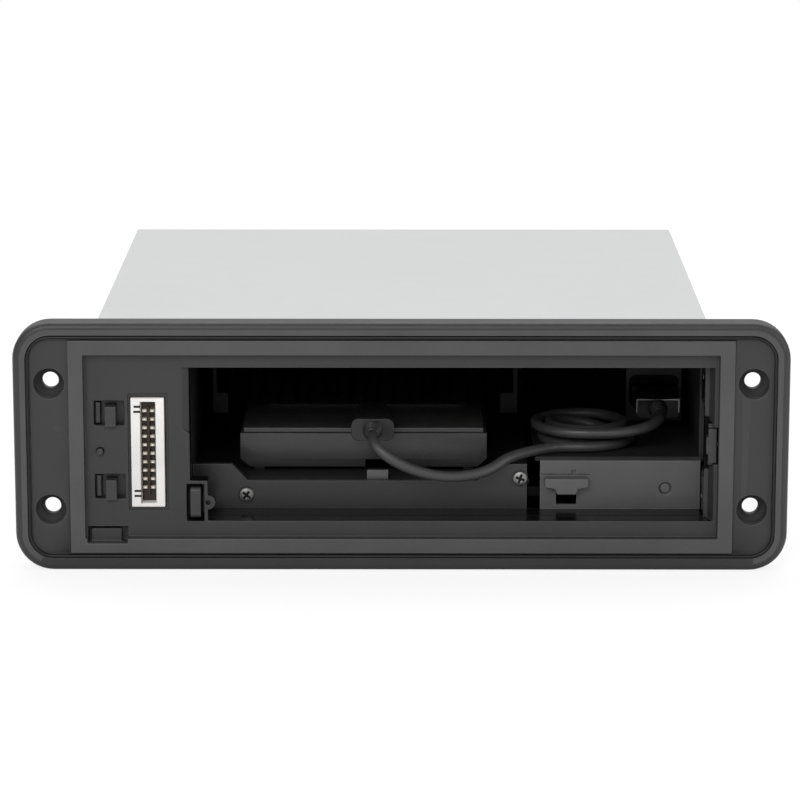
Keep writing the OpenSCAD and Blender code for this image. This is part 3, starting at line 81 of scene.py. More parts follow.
# Camera: a long lens a metre in front of the stereo, a little above it and looking down at the bezel,
# aimed so that the cover's far edge and the white floor in front both show.
camera = bpy.data.objects.new("camera", bpy.data.cameras.new("camera"))
camera.data.lens = 162
camera.data.sensor_width = 36
camera.data.clip_end = 10
camera.location = (0.0035, -1.0259, 0.2358)
aim = Vector((-0.00038, -0.009, 0.01424))
camera.rotation_euler = (aim - camera.location).to_track_quat("-Z", "Y").to_euler()
scene.collection.objects.link(camera)
scene.camera = camera


# USB lead: a limp cable from the plug in the well, wound loosely on the floor of the well and then hanging
# over the apron to the micro plug on the tray. Extruded soft black sheath, one length from end to end,
# moulded into its plugs.
def add(tree, kind, inputs=None, **settings):
    """A node with its settings, its inputs linked to sockets or set to values."""
    node = tree.nodes.new(kind)
    for label, value in settings.items():
        setattr(node, label, value)
    for label, value in (inputs or {}).items():
        if isinstance(value, bpy.types.NodeSocket):
            tree.links.new(value, node.inputs[label])
        else:
            node.inputs[label].default_value = value
    return node


def reckon(tree, operation, a, b=0.0):
    return add(tree, "ShaderNodeMath", {0: a, 1: b}, operation=operation).outputs[0]


def ranged(tree, value, low, high, to_low, to_high):
    limits = {"Value": value, "From Min": low, "From Max": high, "To Min": to_low, "To Max": to_high}
    return add(tree, "ShaderNodeMapRange", limits).outputs["Result"]


def blended(tree, factor, a, b):
    colours = {k: (*c, 1) if isinstance(c, tuple) else c for k, c in ((6, a), (7, b))}
    return add(tree, "ShaderNodeMix", {0: factor, **colours}, data_type="RGBA").outputs[2]


def effect(name, inputs, outputs):
    """An empty shader group with its sockets; returns the group, its inside inputs and its outputs."""
    group = bpy.data.node_groups.new(name, "ShaderNodeTree")
    for label, value in inputs.items():
        kind = "NodeSocketVector" if value is None else "NodeSocketFloat"
        socket = group.interface.new_socket(name=label, in_out="INPUT", socket_type=kind)
        if value is not None:
            socket.default_value = value
    for label in outputs:
        group.interface.new_socket(name=label, in_out="OUTPUT", socket_type="NodeSocketFloat")
    return group, group.nodes.new("NodeGroupInput").outputs, group.nodes.new("NodeGroupOutput").inputs


def use(tree, group, inputs):
    node = tree.nodes.new("ShaderNodeGroup")
    node.node_tree = group
    for label, value in inputs.items():
        if isinstance(value, bpy.types.NodeSocket):
            tree.links.new(value, node.inputs[label])
        else:
            node.inputs[label].default_value = value
    return node.outputs


# the pitted grain that an eroded mould leaves, and the slow cloudiness of a large moulding
spark_grain, given, made = effect(
    "spark_grain", {"Place": None, "Pits per metre": 2600.0}, ["Height", "Cloud"]
)
pits = add(
    spark_grain, "ShaderNodeTexVoronoi",
    {"Vector": given["Place"], "Scale": given["Pits per metre"]}, feature="SMOOTH_F1",
)
pits.inputs["Smoothness"].default_value = 0.6
fuzz_scale = reckon(spark_grain, "MULTIPLY", given["Pits per metre"], 0.55)
fuzz = add(
    spark_grain, "ShaderNodeTexNoise", {"Vector": given["Place"], "Scale": fuzz_scale, "Detail": 3.0}
)
pitted = reckon(spark_grain, "MULTIPLY", pits.outputs["Distance"], 0.6)
spark_grain.links.new(reckon(spark_grain, "ADD", pitted, fuzz.outputs["Fac"]), made["Height"])
cloud = add(
    spark_grain, "ShaderNodeTexNoise",
    {"Vector": given["Place"], "Scale": 38.0, "Detail": 5.0, "Roughness": 0.62},
)
spark_grain.links.new(ranged(spark_grain, cloud.outputs["Fac"], 0.3, 0.7, 0.0, 1.0), made["Cloud"])

# the outer corners, a little paler: partly wear from handling, partly painted highlight along the edges
edge_rub, given, made = effect("edge_rub", {"Place": None, "Reach": 0.0006}, ["Mask"])
eased = add(edge_rub, "ShaderNodeBevel", {"Radius": given["Reach"]}, samples=6)
facing = add(edge_rub, "ShaderNodeNewGeometry")
agree = add(
    edge_rub, "ShaderNodeVectorMath", {0: eased.outputs["Normal"], 1: facing.outputs["Normal"]},
    operation="DOT_PRODUCT",
)
corner = ranged(edge_rub, agree.outputs["Value"], 0.99, 0.86, 0.0, 1.0)
patches = add(edge_rub, "ShaderNodeTexNoise", {"Vector": given["Place"], "Scale": 260.0, "Detail": 4.0})
patchy_wear_and_highlight = ranged(edge_rub, patches.outputs["Fac"], 0.35, 0.65, 0.35, 1.0)
edge_rub.links.new(reckon(edge_rub, "MULTIPLY", corner, patchy_wear_and_highlight), made["Mask"])

# a thin patchy film of dust on what faces up
settled_dust, given, made = effect("settled_dust", {"Place": None}, ["Mask"])
facing = add(settled_dust, "ShaderNodeNewGeometry")
upward = add(settled_dust, "ShaderNodeSeparateXYZ", {"Vector": facing.outputs["Normal"]}).outputs["Z"]
specks = add(settled_dust, "ShaderNodeTexNoise", {"Vector": given["Place"], "Scale": 420.0, "Detail": 6.0})
settled = ranged(settled_dust, specks.outputs["Fac"], 0.42, 0.75, 0.0, 1.0)
level = ranged(settled_dust, upward, 0.5, 1.0, 0.0, 1.0)
settled_dust.links.new(reckon(settled_dust, "MULTIPLY", level, settled), made["Mask"])


def finish_tree(name):
    """A new material's tree, with Object coordinates and a Principled surface ready to be fed."""
    material = bpy.data.materials.new(name)
    material.use_nodes = True
    tree = material.node_tree
    tree.nodes.clear()
    surface = tree.nodes.new("ShaderNodeBsdfPrincipled")
    add(tree, "ShaderNodeOutputMaterial", {"Surface": surface.outputs["BSDF"]})
    return material, tree, tree.nodes.new("ShaderNodeTexCoord").outputs["Object"], surface.inputs


def moulded(name, colour, roughness, pits=2600.0, depth=0.000012, rub_and_highlight=0.35, dust=0.04, specular=0.5):
    """Moulded plastic or rubber: clouded colour, spark grain, corners paled partly by wear and partly as
    painted highlight, and a little dust.
    """
    material, tree, place, surface = finish_tree(name)
    grain = use(tree, spark_grain, {"Place": place, "Pits per metre": pits})
    deep, pale = tuple(0.86 * c for c in colour), tuple(1.12 * c for c in colour)
    base = blended(tree, grain["Cloud"], deep, pale)
    # painted highlight mixed with wear: the corners are paled towards a lighter grey
    edges = reckon(tree, "MULTIPLY", use(tree, edge_rub, {"Place": place})["Mask"], rub_and_highlight)
    base = blended(tree, edges, base, tuple(min(1.0, 2.2 * c + 0.02) for c in colour))
    film = reckon(tree, "MULTIPLY", use(tree, settled_dust, {"Place": place})["Mask"], dust)
    base = blended(tree, film, base, (0.35, 0.34, 0.32))
    tree.links.new(base, surface["Base Color"])
    shine = ranged(tree, grain["Cloud"], 0.0, 1.0, roughness - 0.05, roughness + 0.06)
    tree.links.new(shine, surface["Roughness"])
    bump = add(tree, "ShaderNodeBump", {"Strength": 1.0, "Distance": depth, "Height": grain["Height"]})
    tree.links.new(bump.outputs["Normal"], surface["Normal"])
    surface["Specular IOR Level"].default_value = specular
    return material


def grey(value):
    return (value, value, value)


def show(name, mesh, *materials):
    piece = bpy.data.objects.new(name, mesh)
    scene.collection.objects.link(piece)
    for material in materials:
        mesh.materials.append(material)
    return piece


def smooth_path(points, spacing):
    """Points at an even spacing on a smooth curve through the given ones."""
    knots = [Vector(p) for p in points]
    knots = [2 * knots[0] - knots[1], *knots, 2 * knots[-1] - knots[-2]]
    fine, steps = [], 40
    for a, b, c, d in zip(knots, knots[1:], knots[2:], knots[3:]):
        for k in range(steps):
            t = k / steps
            bend = (2 * a - 5 * b + 4 * c - d) * t * t + (3 * b - a - 3 * c + d) * t ** 3
            fine.append(0.5 * (2 * b + (c - a) * t + bend))
    fine.append(knots[-2])
    run = [0.0]
    for a, b in zip(fine, fine[1:]):
        run.append(run[-1] + (b - a).length)
    count = max(2, round(run[-1] / spacing))
    stops = [run[-1] * k / count for k in range(count + 1)]
    axes = [[p[axis] for p in fine] for axis in range(3)]
    return [Vector([float(np.interp(stop, run, axis)) for axis in axes]) for stop in stops]


def tube_mesh(name, path, radius, sides=16):
    """A closed round tube along a path, its rings square to the path."""
    shape = bmesh.new()
    turns = [2 * math.pi * s / sides for s in range(sides)]
    rings = []
    for k, point in enumerate(path):
        heading = (path[min(k + 1, len(path) - 1)] - path[max(k - 1, 0)]).normalized()
        across = Vector((0, 0, 1)).cross(heading).normalized()
        up = heading.cross(across)
        ring = [point + radius * (math.cos(a) * across + math.sin(a) * up) for a in turns]
        rings.append([shape.verts.new(p) for p in ring])
    for a, b in zip(rings, rings[1:]):
        for s in range(sides):
            shape.faces.new((a[s], a[(s + 1) % sides], b[(s + 1) % sides], b[s])).smooth = True
    shape.faces.new(rings[0][::-1])
    shape.faces.new(rings[-1])
    bmesh.ops.recalc_face_normals(shape, faces=shape.faces)
    mesh = bpy.data.meshes.new(name)
    shape.to_mesh(mesh)
    shape.free()
    return mesh


cable_radius = 0.0016
hanging_points = [
    (-8.6, 8.5, 0.05), (-8.6, 5, 0.05), (-8, 1.6, -0.9), (-6.2, -0.6, -2.7), (-3.2, -1.6, -4.9),
    (0.8, -1.8, -7.1), (5.6, -1.5, -9), (11, -0.7, -10.3), (16.6, 0.6, -10.8), (22, 2.2, -10.4),
    (26.6, 4.2, -9.2), (30.4, 6.6, -7.2), (34.2, 9.8, -6.4), (38.2, 13, -6.1), (42.4, 16, -6), (45.4, 17.8, -6),
    (48, 18.3, -6), (51.3, 18.3, -6),
]
tail_points = [
    (57.7, 18.3, -1.8), (61, 18.3, -1.8), (65, 18.5, -1.6), (69.6, 19.5, -1.1), (73.9, 22.2, -0.4),
    (76.7, 26.4, 0.3), (77.7, 30.8, 0.6), (77.7, 34.7, 0.6),
]
coil_centre, coil_outer, coil_pitch, coil_floor = (54.5, 33.5), 15.2, 4.2, -6.0
coil_in, coil_climb, coil_turns, coil_steps = 1.25, 0.5, 3, 24


def coil_point(turn):
    """A place on the coil: in on the lower layer, up a layer in half a turn, and out on the upper one."""
    rise = min(1, max(0, (turn - coil_in) / coil_climb))
    wound = min(turn, coil_in) - max(0, turn - coil_in - coil_climb)
    radius, angle = coil_outer - coil_pitch * wound, 2 * math.pi * turn
    height = coil_floor + coil_pitch * rise * rise * (3 - 2 * rise)
    return (coil_centre[0] + radius * math.sin(angle), coil_centre[1] - radius * math.cos(angle), height)


coil_points = [coil_point(k / coil_steps) for k in range(coil_steps * coil_turns + 1)]
lead_route = [p / 1000 for p in smooth_path((hanging_points + coil_points + tail_points)[::-1], 1.0)]
cable_sheath = moulded("cable_sheath", grey(0.045), 0.4, pits=1500.0, depth=0.000006, rub_and_highlight=0.0, dust=0.05)
usb_lead = show("usb_lead", tube_mesh("usb_lead", lead_route, cable_radius), cable_sheath)
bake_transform(usb_lead)
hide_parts("cable_lead", "cable_coil", "cable_tail")


# Plugs of the lead: black grips moulded over the ends of the cable, with ringed strain reliefs and folded
# tin-plated tips. The large plug sits in its socket in the well, and the micro plug lies on the tray.
def soften(node, radius, name, segments=2):
    """A copy of a CAD node's mesh whose sharp edges are rounded wherever there is room for the radius."""
    shape = bmesh.new()
    shape.from_mesh(frame["nodes"][node].data)
    bmesh.ops.remove_doubles(shape, verts=shape.verts, dist=1e-6)
    weights = shape.edges.layers.float.new("bevel_weight_edge")
    flat = math.radians(0.6)
    bmesh.ops.dissolve_limit(shape, angle_limit=flat, verts=shape.verts, edges=shape.edges)
    crease, fold, bend = math.radians(25), math.radians(32), math.cos(math.radians(35))
    folds = {e: e.calc_face_angle(0) for e in shape.edges if len(e.link_faces) == 2}
    sharp = [e for e in folds if folds[e] > fold]
    for edge in folds:
        edge.smooth = folds[edge] < crease
    run_of = {e: e for e in sharp}

    def root(edge):
        while run_of[edge] is not edge:
            edge = run_of[edge]
        return edge

    ends = []
    for vert in shape.verts:
        met = [e for e in vert.link_edges if e in run_of]
        if len(met) == 2:
            a, b = ((e.other_vert(vert).co - vert.co).normalized() for e in met)
            if -a.dot(b) > bend:
                run_of[root(met[0])] = root(met[1])
                continue
        if met:
            ends.append(vert)
    samples = []
    for edge in sharp:
        a, b = (v.co for v in edge.verts)
        count = max(1, math.ceil(edge.calc_length() / radius))
        samples += [(a.lerp(b, (k + 0.5) / count), root(edge)) for k in range(count)]
    near, corners = KDTree(len(samples)), KDTree(len(ends))
    for k, (point, _) in enumerate(samples):
        near.insert(point, k)
    for k, vert in enumerate(ends):
        corners.insert(vert.co, k)
    near.balance()
    corners.balance()
    reach, full_room, some_room, part_width = 3 * radius, 2.3, 1.0, 0.4
    room = {}
    for point, run in samples:
        room.setdefault(run, reach)
        if ends and corners.find(point)[2] < reach:
            continue
        gaps = [gap for _, k, gap in near.find_range(point, reach) if samples[k][1] is not run]
        room[run] = min([room[run], *gaps])
    for edge in sharp:
        space = room[root(edge)] / radius
        edge[weights] = 1.0 if space > full_room else part_width if space > some_room else 0.0
        edge.smooth = edge[weights] > 0
    for face in shape.faces:
        face.smooth = True
    mesh = bpy.data.meshes.new(name)
    shape.to_mesh(mesh)
    shape.free()
    piece = show(name, mesh)
    rounding = piece.modifiers.new("rounding", "BEVEL")
    rounding.limit_method, rounding.width, rounding.segments = "WEIGHT", radius, segments
    rounding.use_clamp_overlap = False
    piece.modifiers.new("even_normals", "WEIGHTED_NORMAL").keep_sharp = True
    return settle(piece)


def settle(piece):
    """Makes a piece's modifiers into plain mesh."""
    piece.data = bpy.data.meshes.new_from_object(
        piece.evaluated_get(bpy.context.evaluated_depsgraph_get())
    )
    piece.modifiers.clear()
    piece.data.name = piece.name
    return piece


def stand_for(piece, node):
    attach(piece, frame["nodes"][node]["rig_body"])
    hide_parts(node)


def dress(piece, *materials, choose=None):
    """Gives a piece its materials; choose picks one by each face's centre in millimetres and its normal."""
    piece.data.materials.clear()
    for material in materials:
        piece.data.materials.append(material)
    for face in piece.data.polygons:
        face.material_index = choose(face.center * 1000, face.normal) if choose else 0


# the fine lines of drawn, rolled or headed metal, and broad streaks of tarnish
brushed, given, made = effect("brushed", {"Place": None, "Lines per metre": 4000.0}, ["Height", "Streak"])
along = add(brushed, "ShaderNodeMapping", {"Vector": given["Place"], "Scale": (1.0, 0.04, 1.0)}).outputs[0]
lines = add(
    brushed, "ShaderNodeTexNoise",
    {"Vector": along, "Scale": given["Lines per metre"], "Detail": 3.0, "Roughness": 0.7},
)
brushed.links.new(lines.outputs["Fac"], made["Height"])
broad = add(brushed, "ShaderNodeTexNoise", {"Vector": along, "Scale": 90.0, "Detail": 4.0})
brushed.links.new(ranged(brushed, broad.outputs["Fac"], 0.3, 0.7, 0.0, 1.0), made["Streak"])


def plated(name, colour, roughness, lines=4000.0, depth=0.000004, metallic=1.0, tarnish=0.12, rub_and_highlight=0.25):
    """Plated or bare metal: drawn lines, slow tarnish and corners made brighter, partly by wear and partly as
    painted highlight.
    """
    material, tree, place, surface = finish_tree(name)
    drawn = use(tree, brushed, {"Place": place, "Lines per metre": lines})
    base = blended(tree, drawn["Streak"], tuple(c * (1 - tarnish) for c in colour), colour)
    # painted highlight mixed with wear: the corners are brightened
    edges = reckon(tree, "MULTIPLY", use(tree, edge_rub, {"Place": place, "Reach": 0.0003})["Mask"], rub_and_highlight)
    base = blended(tree, edges, base, tuple(min(1.0, 1.25 * c + 0.03) for c in colour))
    tree.links.new(base, surface["Base Color"])
    shine = ranged(tree, drawn["Streak"], 0.0, 1.0, roughness + 0.05, roughness - 0.05)
    tree.links.new(shine, surface["Roughness"])
    bump = add(tree, "ShaderNodeBump", {"Strength": 1.0, "Distance": depth, "Height": drawn["Height"]})
    tree.links.new(bump.outputs["Normal"], surface["Normal"])
    surface["Metallic"].default_value = metallic
    return material


def grow_tree(name, inputs):
    """A geometry tree with named inputs and a finish; returns it and the sockets inside."""
    tree = bpy.data.node_groups.new(name, "GeometryNodeTree")
    tree.interface.new_socket(name="Geometry", in_out="OUTPUT", socket_type="NodeSocketGeometry")
    kinds = {int: "NodeSocketInt", float: "NodeSocketFloat", tuple: "NodeSocketVector"}
    for label, value in inputs.items():
        kind = value if isinstance(value, str) else kinds[type(value)]
        socket = tree.interface.new_socket(name=label, in_out="INPUT", socket_type=kind)
        if not isinstance(value, str):
            socket.default_value = value
    tree.interface.new_socket(name="Finish", in_out="INPUT", socket_type="NodeSocketMaterial")
    return tree, tree.nodes.new("NodeGroupInput").outputs


def close_tree(tree, given, geometry, smooth=True):
    """Ends a tree: copies made real, shaded and given the finish."""
    real = add(tree, "GeometryNodeRealizeInstances", {"Geometry": geometry}).outputs["Geometry"]
    shaded = add(tree, "GeometryNodeSetShadeSmooth", {"Geometry": real, "Shade Smooth": smooth})
    coated = add(
        tree, "GeometryNodeSetMaterial", {"Geometry": shaded.outputs[0], "Material": given["Finish"]}
    )
    add(tree, "NodeGroupOutput", {"Geometry": coated.outputs[0]})


def grown(name, tree, values, start=None):
    """A plain mesh object made by a geometry tree from the given values."""
    piece = show(name, start or bpy.data.meshes.new(name))
    maker = piece.modifiers.new("maker", "NODES")
    maker.node_group = tree
    for item in tree.interface.items_tree:
        if item.in_out == "INPUT" and item.name in values:
            maker[item.identifier] = values[item.name]
    return settle(piece)


def vector(tree, **parts):
    return add(tree, "ShaderNodeCombineXYZ", parts).outputs[0]


ring_stack, given = grow_tree("ring_stack", {
    "Rings": 4, "Spacing": 0.001, "First radius": 0.002, "Last radius": 0.003, "Bead": 0.2,
    "Place": (0.0, 0.0, 0.0),
})
stack = add(
    ring_stack, "GeometryNodeMeshLine",
    {"Count": given["Rings"], "Offset": vector(ring_stack, Y=given["Spacing"])},
)
hoop = add(ring_stack, "GeometryNodeCurvePrimitiveCircle", {"Resolution": 28, "Radius": 1.0})
bead = add(ring_stack, "GeometryNodeCurvePrimitiveCircle", {"Resolution": 8, "Radius": given["Bead"]})
torus = add(ring_stack, "GeometryNodeCurveToMesh", {
    "Curve": hoop.outputs["Curve"], "Profile Curve": bead.outputs["Curve"],
})
size = ranged(
    ring_stack, add(ring_stack, "GeometryNodeInputIndex").outputs[0], 0.0,
    reckon(ring_stack, "SUBTRACT", given["Rings"], 1.0), given["First radius"], given["Last radius"],
)
hoops = add(ring_stack, "GeometryNodeInstanceOnPoints", {
    "Points": stack.outputs["Mesh"], "Instance": torus.outputs["Mesh"],
    "Rotation": (math.pi / 2, 0.0, 0.0), "Scale": size,
})
moved = add(ring_stack, "GeometryNodeTransform", {
    "Geometry": hoops.outputs["Instances"], "Translation": given["Place"],
})
close_tree(ring_stack, given, moved.outputs["Geometry"])

plug_grip = moulded("plug_grip", grey(0.017), 0.34, pits=2200.0, depth=0.000007, rub_and_highlight=0.5, dust=0.05)
tin_plate = plated("tin_plate", (0.72, 0.72, 0.7), 0.3)
micro_tip_from, usb_boot_to, usb_tip_from = 35.6, 41.5, 59.8
micro_grip = soften("micro_plug", 0.0006, "micro_plug_grip", 3)
dress(micro_grip, plug_grip, tin_plate, choose=lambda at, normal: int(at.y > micro_tip_from))
stand_for(micro_grip, "micro_plug")
usb_grip = soften("usb_plug", 0.0005, "usb_plug_grip", 3)
socket_grip = moulded("socket_grip", grey(0.009), 0.3, pits=2200.0, depth=0.000004, rub_and_highlight=0.3, specular=0.25)
dress(
    usb_grip, plug_grip, socket_grip, tin_plate,
    choose=lambda at, normal: 2 if at.y > usb_tip_from else 1 if at.y > usb_boot_to else 0,
)
stand_for(usb_grip, "usb_plug")
micro_rings = grown("micro_plug_rings", ring_stack, {
    "Rings": 4, "Spacing": 0.0012, "First radius": 0.00205, "Last radius": 0.0025, "Bead": 0.17,
    "Place": (-0.0086, 0.0096, 0.00005), "Finish": plug_grip,
})
usb_rings = grown("usb_plug_rings", ring_stack, {
    "Rings": 5, "Spacing": 0.0012, "First radius": 0.00205, "Last radius": 0.0025, "Bead": 0.17,
    "Place": (0.0777, 0.0358, 0.0006), "Finish": plug_grip,
})
dull_tin = plated("dull_tin", (0.4, 0.4, 0.39), 0.36, tarnish=0.35)
left, right, foot, top, wall, front, depth = 71.2, 84.2, -0.6, 3.5, 0.26, 41.55, 1.4
outline = [
    (left, foot), (left, top), (right, top), (right, foot),
    (right - wall, foot), (right - wall, top - wall), (left + wall, top - wall), (left + wall, foot),
]
shape = bmesh.new()
face = shape.faces.new([shape.verts.new((x / 1000, front / 1000, z / 1000)) for x, z in outline])
drawn = bmesh.ops.extrude_face_region(shape, geom=[face])["geom"]
back_verts = [v for v in drawn if isinstance(v, bmesh.types.BMVert)]
bmesh.ops.translate(shape, vec=(0, depth / 1000, 0), verts=back_verts)
bmesh.ops.recalc_face_normals(shape, faces=shape.faces)
plug_collar = show("usb_plug_collar", bpy.data.meshes.new("usb_plug_collar"), dull_tin)
shape.to_mesh(plug_collar.data)
shape.free()
for extra, body in ((micro_rings, "dock_tray"), (usb_rings, "chassis"), (plug_collar, "chassis")):
    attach(extra, body)


# Front bezel: one large black moulding with a rounded rim, flat ears with counterbored holes, a raised
# frame and the sunk connector panel. Spark-grained all over, with the frame left smoother. The rim takes a
# darker copy of the grain, and the walls of the bay's mouth a near-black gloss, both as painted shade.
bezel_grain = moulded("bezel_grain", grey(0.036), 0.5, pits=2400.0, depth=0.00002, rub_and_highlight=0.45, dust=0.05)
frame_smooth = moulded("frame_smooth", grey(0.062), 0.42, pits=3200.0, depth=0.00001, rub_and_highlight=0.4, dust=0.05)
panel_grain = moulded("panel_grain", grey(0.028), 0.52, pits=2400.0, depth=0.00002, rub_and_highlight=0.45, dust=0.05)
# painted shade: a near-black gloss for the sill and the walls of the bay's mouth
sill_gloss = moulded("sill_gloss", grey(0.006), 0.2, depth=0.000003, rub_and_highlight=0.2, dust=0.0, specular=0.3)
# painted shade: the rim's grain is a darker copy of the bezel's, to keep the lit rim dark
rim_grain = moulded("rim_grain", grey(0.026), 0.46, pits=2400.0, depth=0.000016, rub_and_highlight=0.3, dust=0.03)
rim_from, ring_half, recess_half, front_plane = (107.5, 31.9), (96.6, 31.8), (92.1, 27.3), -8.5
bay_low, bay_high, recess_plane = (-61.5, -22.4), (88.5, 23.2), -6.5


def bezel_finish(at, normal):
    inside = abs(at.x) < recess_half[0] and abs(at.z) < recess_half[1]
    in_mouth = bay_low[0] - 0.5 < at.x < bay_high[0] + 0.5 and bay_low[1] - 0.5 < at.z < bay_high[1] + 0.5
    # painted shade: the walls inside the bay's mouth take the near-black sill gloss
    if in_mouth and at.y > recess_plane + 0.1 and abs(normal.y) < 0.7:
        return 3
    on_ring = abs(at.x) < ring_half[0] and abs(at.z) < ring_half[1] and at.y < front_plane
    # painted shade: the rim takes its darker grain
    if abs(at.x) > rim_from[0] or abs(at.z) > rim_from[1]:
        return 4
    return 1 if on_ring and normal.y < -0.9 else 2 if inside else 0


bezel = soften("front_bezel", 0.00035, "bezel_moulding", 3)
dress(bezel, bezel_grain, frame_smooth, panel_grain, sill_gloss, rim_grain, choose=bezel_finish)
stand_for(bezel, "front_bezel")


# Face seal and mounting gasket: a smooth black rubber bead laid in the rim's inner rebate, and a die-cut
# sheet of closed-cell foam behind the bezel that is squeezed against the vehicle's panel.
seal_rubber = moulded(
    "seal_rubber", grey(0.006), 0.4, pits=900.0, depth=0.000004, rub_and_highlight=0.0, dust=0.0, specular=0.35
)
foam_rubber = moulded(
    "foam_rubber", grey(0.02), 0.8, pits=1400.0, depth=0.00005, rub_and_highlight=0.0, dust=0.06, specular=0.25
)


def finish_node(node, material):
    """A CAD node that keeps its own shape and takes a material."""
    owner = frame["nodes"][node]
    if not owner.material_slots:
        owner.data.materials.append(material)
    for held in owner.material_slots:
        held.material = material


finish_node("face_seal", seal_rubber)
gasket = soften("mounting_gasket", 0.0002, "gasket_sheet")
dress(gasket, foam_rubber)
stand_for(gasket, "mounting_gasket")


# Chassis: base, top cover and rear panel folded from dull zinc-plated steel sheet, with softly broken
# edges, a fine rolled grain and faint spangle under the handling smears.
zinc_sheet, tree, place, surface = finish_tree("zinc_sheet")
rolled = use(tree, brushed, {"Place": place, "Lines per metre": 1600.0})
spangle = add(tree, "ShaderNodeTexVoronoi", {"Vector": place, "Scale": 160.0}, feature="F1")
flake = add(tree, "ShaderNodeSeparateColor", {"Color": spangle.outputs["Color"]}).outputs[0]
smear = add(
    tree, "ShaderNodeTexNoise", {"Vector": place, "Scale": 24.0, "Detail": 5.0, "Roughness": 0.6}
).outputs["Fac"]
base = blended(tree, ranged(tree, flake, 0.0, 1.0, 0.0, 0.15), (0.575, 0.578, 0.582), grey(0.62))
base = blended(tree, ranged(tree, smear, 0.45, 0.75, 0.0, 0.15), base, grey(0.55))
# painted highlight mixed with wear: the sheet's edges are paled towards light grey
edges = use(tree, edge_rub, {"Place": place, "Reach": 0.0008})["Mask"]
base = blended(tree, reckon(tree, "MULTIPLY", edges, 0.5), base, grey(0.75))
tree.links.new(base, surface["Base Color"])
tree.links.new(ranged(tree, smear, 0.3, 0.7, 0.5, 0.56), surface["Roughness"])
surface["Metallic"].default_value = 0.35
bump = add(tree, "ShaderNodeBump", {"Strength": 1.0, "Distance": 0.000006, "Height": rolled["Height"]})
tree.links.new(bump.outputs["Normal"], surface["Normal"])
for node in ("chassis_base", "top_cover", "rear_panel"):
    sheet = soften(node, 0.0004, node + "_sheet")
    dress(sheet, zinc_sheet)
    stand_for(sheet, node)


# Chassis, apron and board screws: passivated steel pan heads with cross recesses, cold headed and rolled.
# Each is driven home at its own angle.
def screw_mesh(name, head_r, head_h, shank_r, shank_l, sides=24):
    """A pan-head screw standing on Z with its head above zero, cut by a cross recess."""
    profile = [
        (0.0, head_h), (0.55 * head_r, 0.97 * head_h), (0.86 * head_r, 0.78 * head_h), (head_r, 0.4 * head_h),
        (head_r, 0.0), (shank_r, 0.0), (shank_r, shank_r - shank_l), (0.5 * shank_r, -shank_l),
        (0.0, -shank_l),
    ]
    shape = bmesh.new()
    spun = [shape.verts.new((r, 0, z)) for r, z in profile]
    edges = [shape.edges.new(pair) for pair in zip(spun, spun[1:])]
    bmesh.ops.spin(
        shape, geom=spun + edges, axis=(0, 0, 1), cent=(0, 0, 0), angle=2 * math.pi, steps=sides,
        use_duplicate=False,
    )
    bmesh.ops.remove_doubles(shape, verts=shape.verts, dist=1e-7)
    bmesh.ops.recalc_face_normals(shape, faces=shape.faces)
    blank = show(name, bpy.data.meshes.new(name))
    shape.to_mesh(blank.data)
    shape.free()
    recess = bmesh.new()
    reach, width, floor, mouth = 0.66 * head_r, 0.17 * head_r, 0.1 * head_h, 1.5 * head_h
    around = ((-1, -1), (1, -1), (1, 1), (-1, 1))
    for x, y in ((reach, width), (width, reach)):
        low = [recess.verts.new((sx * x * 0.8, sy * y * 0.8, floor)) for sx, sy in around]
        top = [recess.verts.new((sx * x, sy * y, mouth)) for sx, sy in around]
        recess.faces.new(low[::-1])
        recess.faces.new(top)
        for k in range(4):
            recess.faces.new((low[k], low[(k + 1) % 4], top[(k + 1) % 4], top[k]))
    cutter = show(name + "_recess", bpy.data.meshes.new(name + "_recess"))
    recess.to_mesh(cutter.data)
    recess.free()
    cut = blank.modifiers.new("recess", "BOOLEAN")
    cut.object, cut.operation, cut.solver, cut.use_self = cutter, "DIFFERENCE", "EXACT", True
    settle(blank)
    bpy.data.objects.remove(cutter)
    return blank


screw_set, given = grow_tree("screw_set", {
    "Seats": "NodeSocketGeometry", "Screw": "NodeSocketObject", "Turn seed": 7,
})
lying = add(screw_set, "GeometryNodeInputNamedAttribute", {"Name": "outward"}, data_type="FLOAT_VECTOR")
aimed = add(
    screw_set, "FunctionNodeAlignRotationToVector", {"Vector": lying.outputs["Attribute"]}, axis="Z"
)
spin = add(
    screw_set, "FunctionNodeRandomValue", {2: 0.0, 3: 2 * math.pi, "Seed": given["Turn seed"]},
    data_type="FLOAT",
)
twist = add(screw_set, "FunctionNodeEulerToRotation", {"Euler": vector(screw_set, Z=spin.outputs[1])})
turned = add(
    screw_set, "FunctionNodeRotateRotation",
    {"Rotation": aimed.outputs["Rotation"], "Rotate By": twist.outputs[0]}, rotation_space="LOCAL",
)
pattern = add(screw_set, "GeometryNodeObjectInfo", {"Object": given["Screw"]})
driven = add(screw_set, "GeometryNodeInstanceOnPoints", {
    "Points": given["Seats"], "Instance": pattern.outputs["Geometry"], "Rotation": turned.outputs["Rotation"],
})
close_tree(screw_set, given, driven.outputs["Instances"], False)
screw_steel = plated("screw_steel", (0.42, 0.42, 0.41), 0.36, lines=9000.0, tarnish=0.25, rub_and_highlight=0.5)
screw_dull = plated("screw_dull", (0.3, 0.3, 0.295), 0.45, lines=9000.0, tarnish=0.25, rub_and_highlight=0.6)
recess_shade = plated("recess_shade", grey(0.012), 0.6, lines=9000.0, metallic=0.5, tarnish=0.25, rub_and_highlight=0.0)


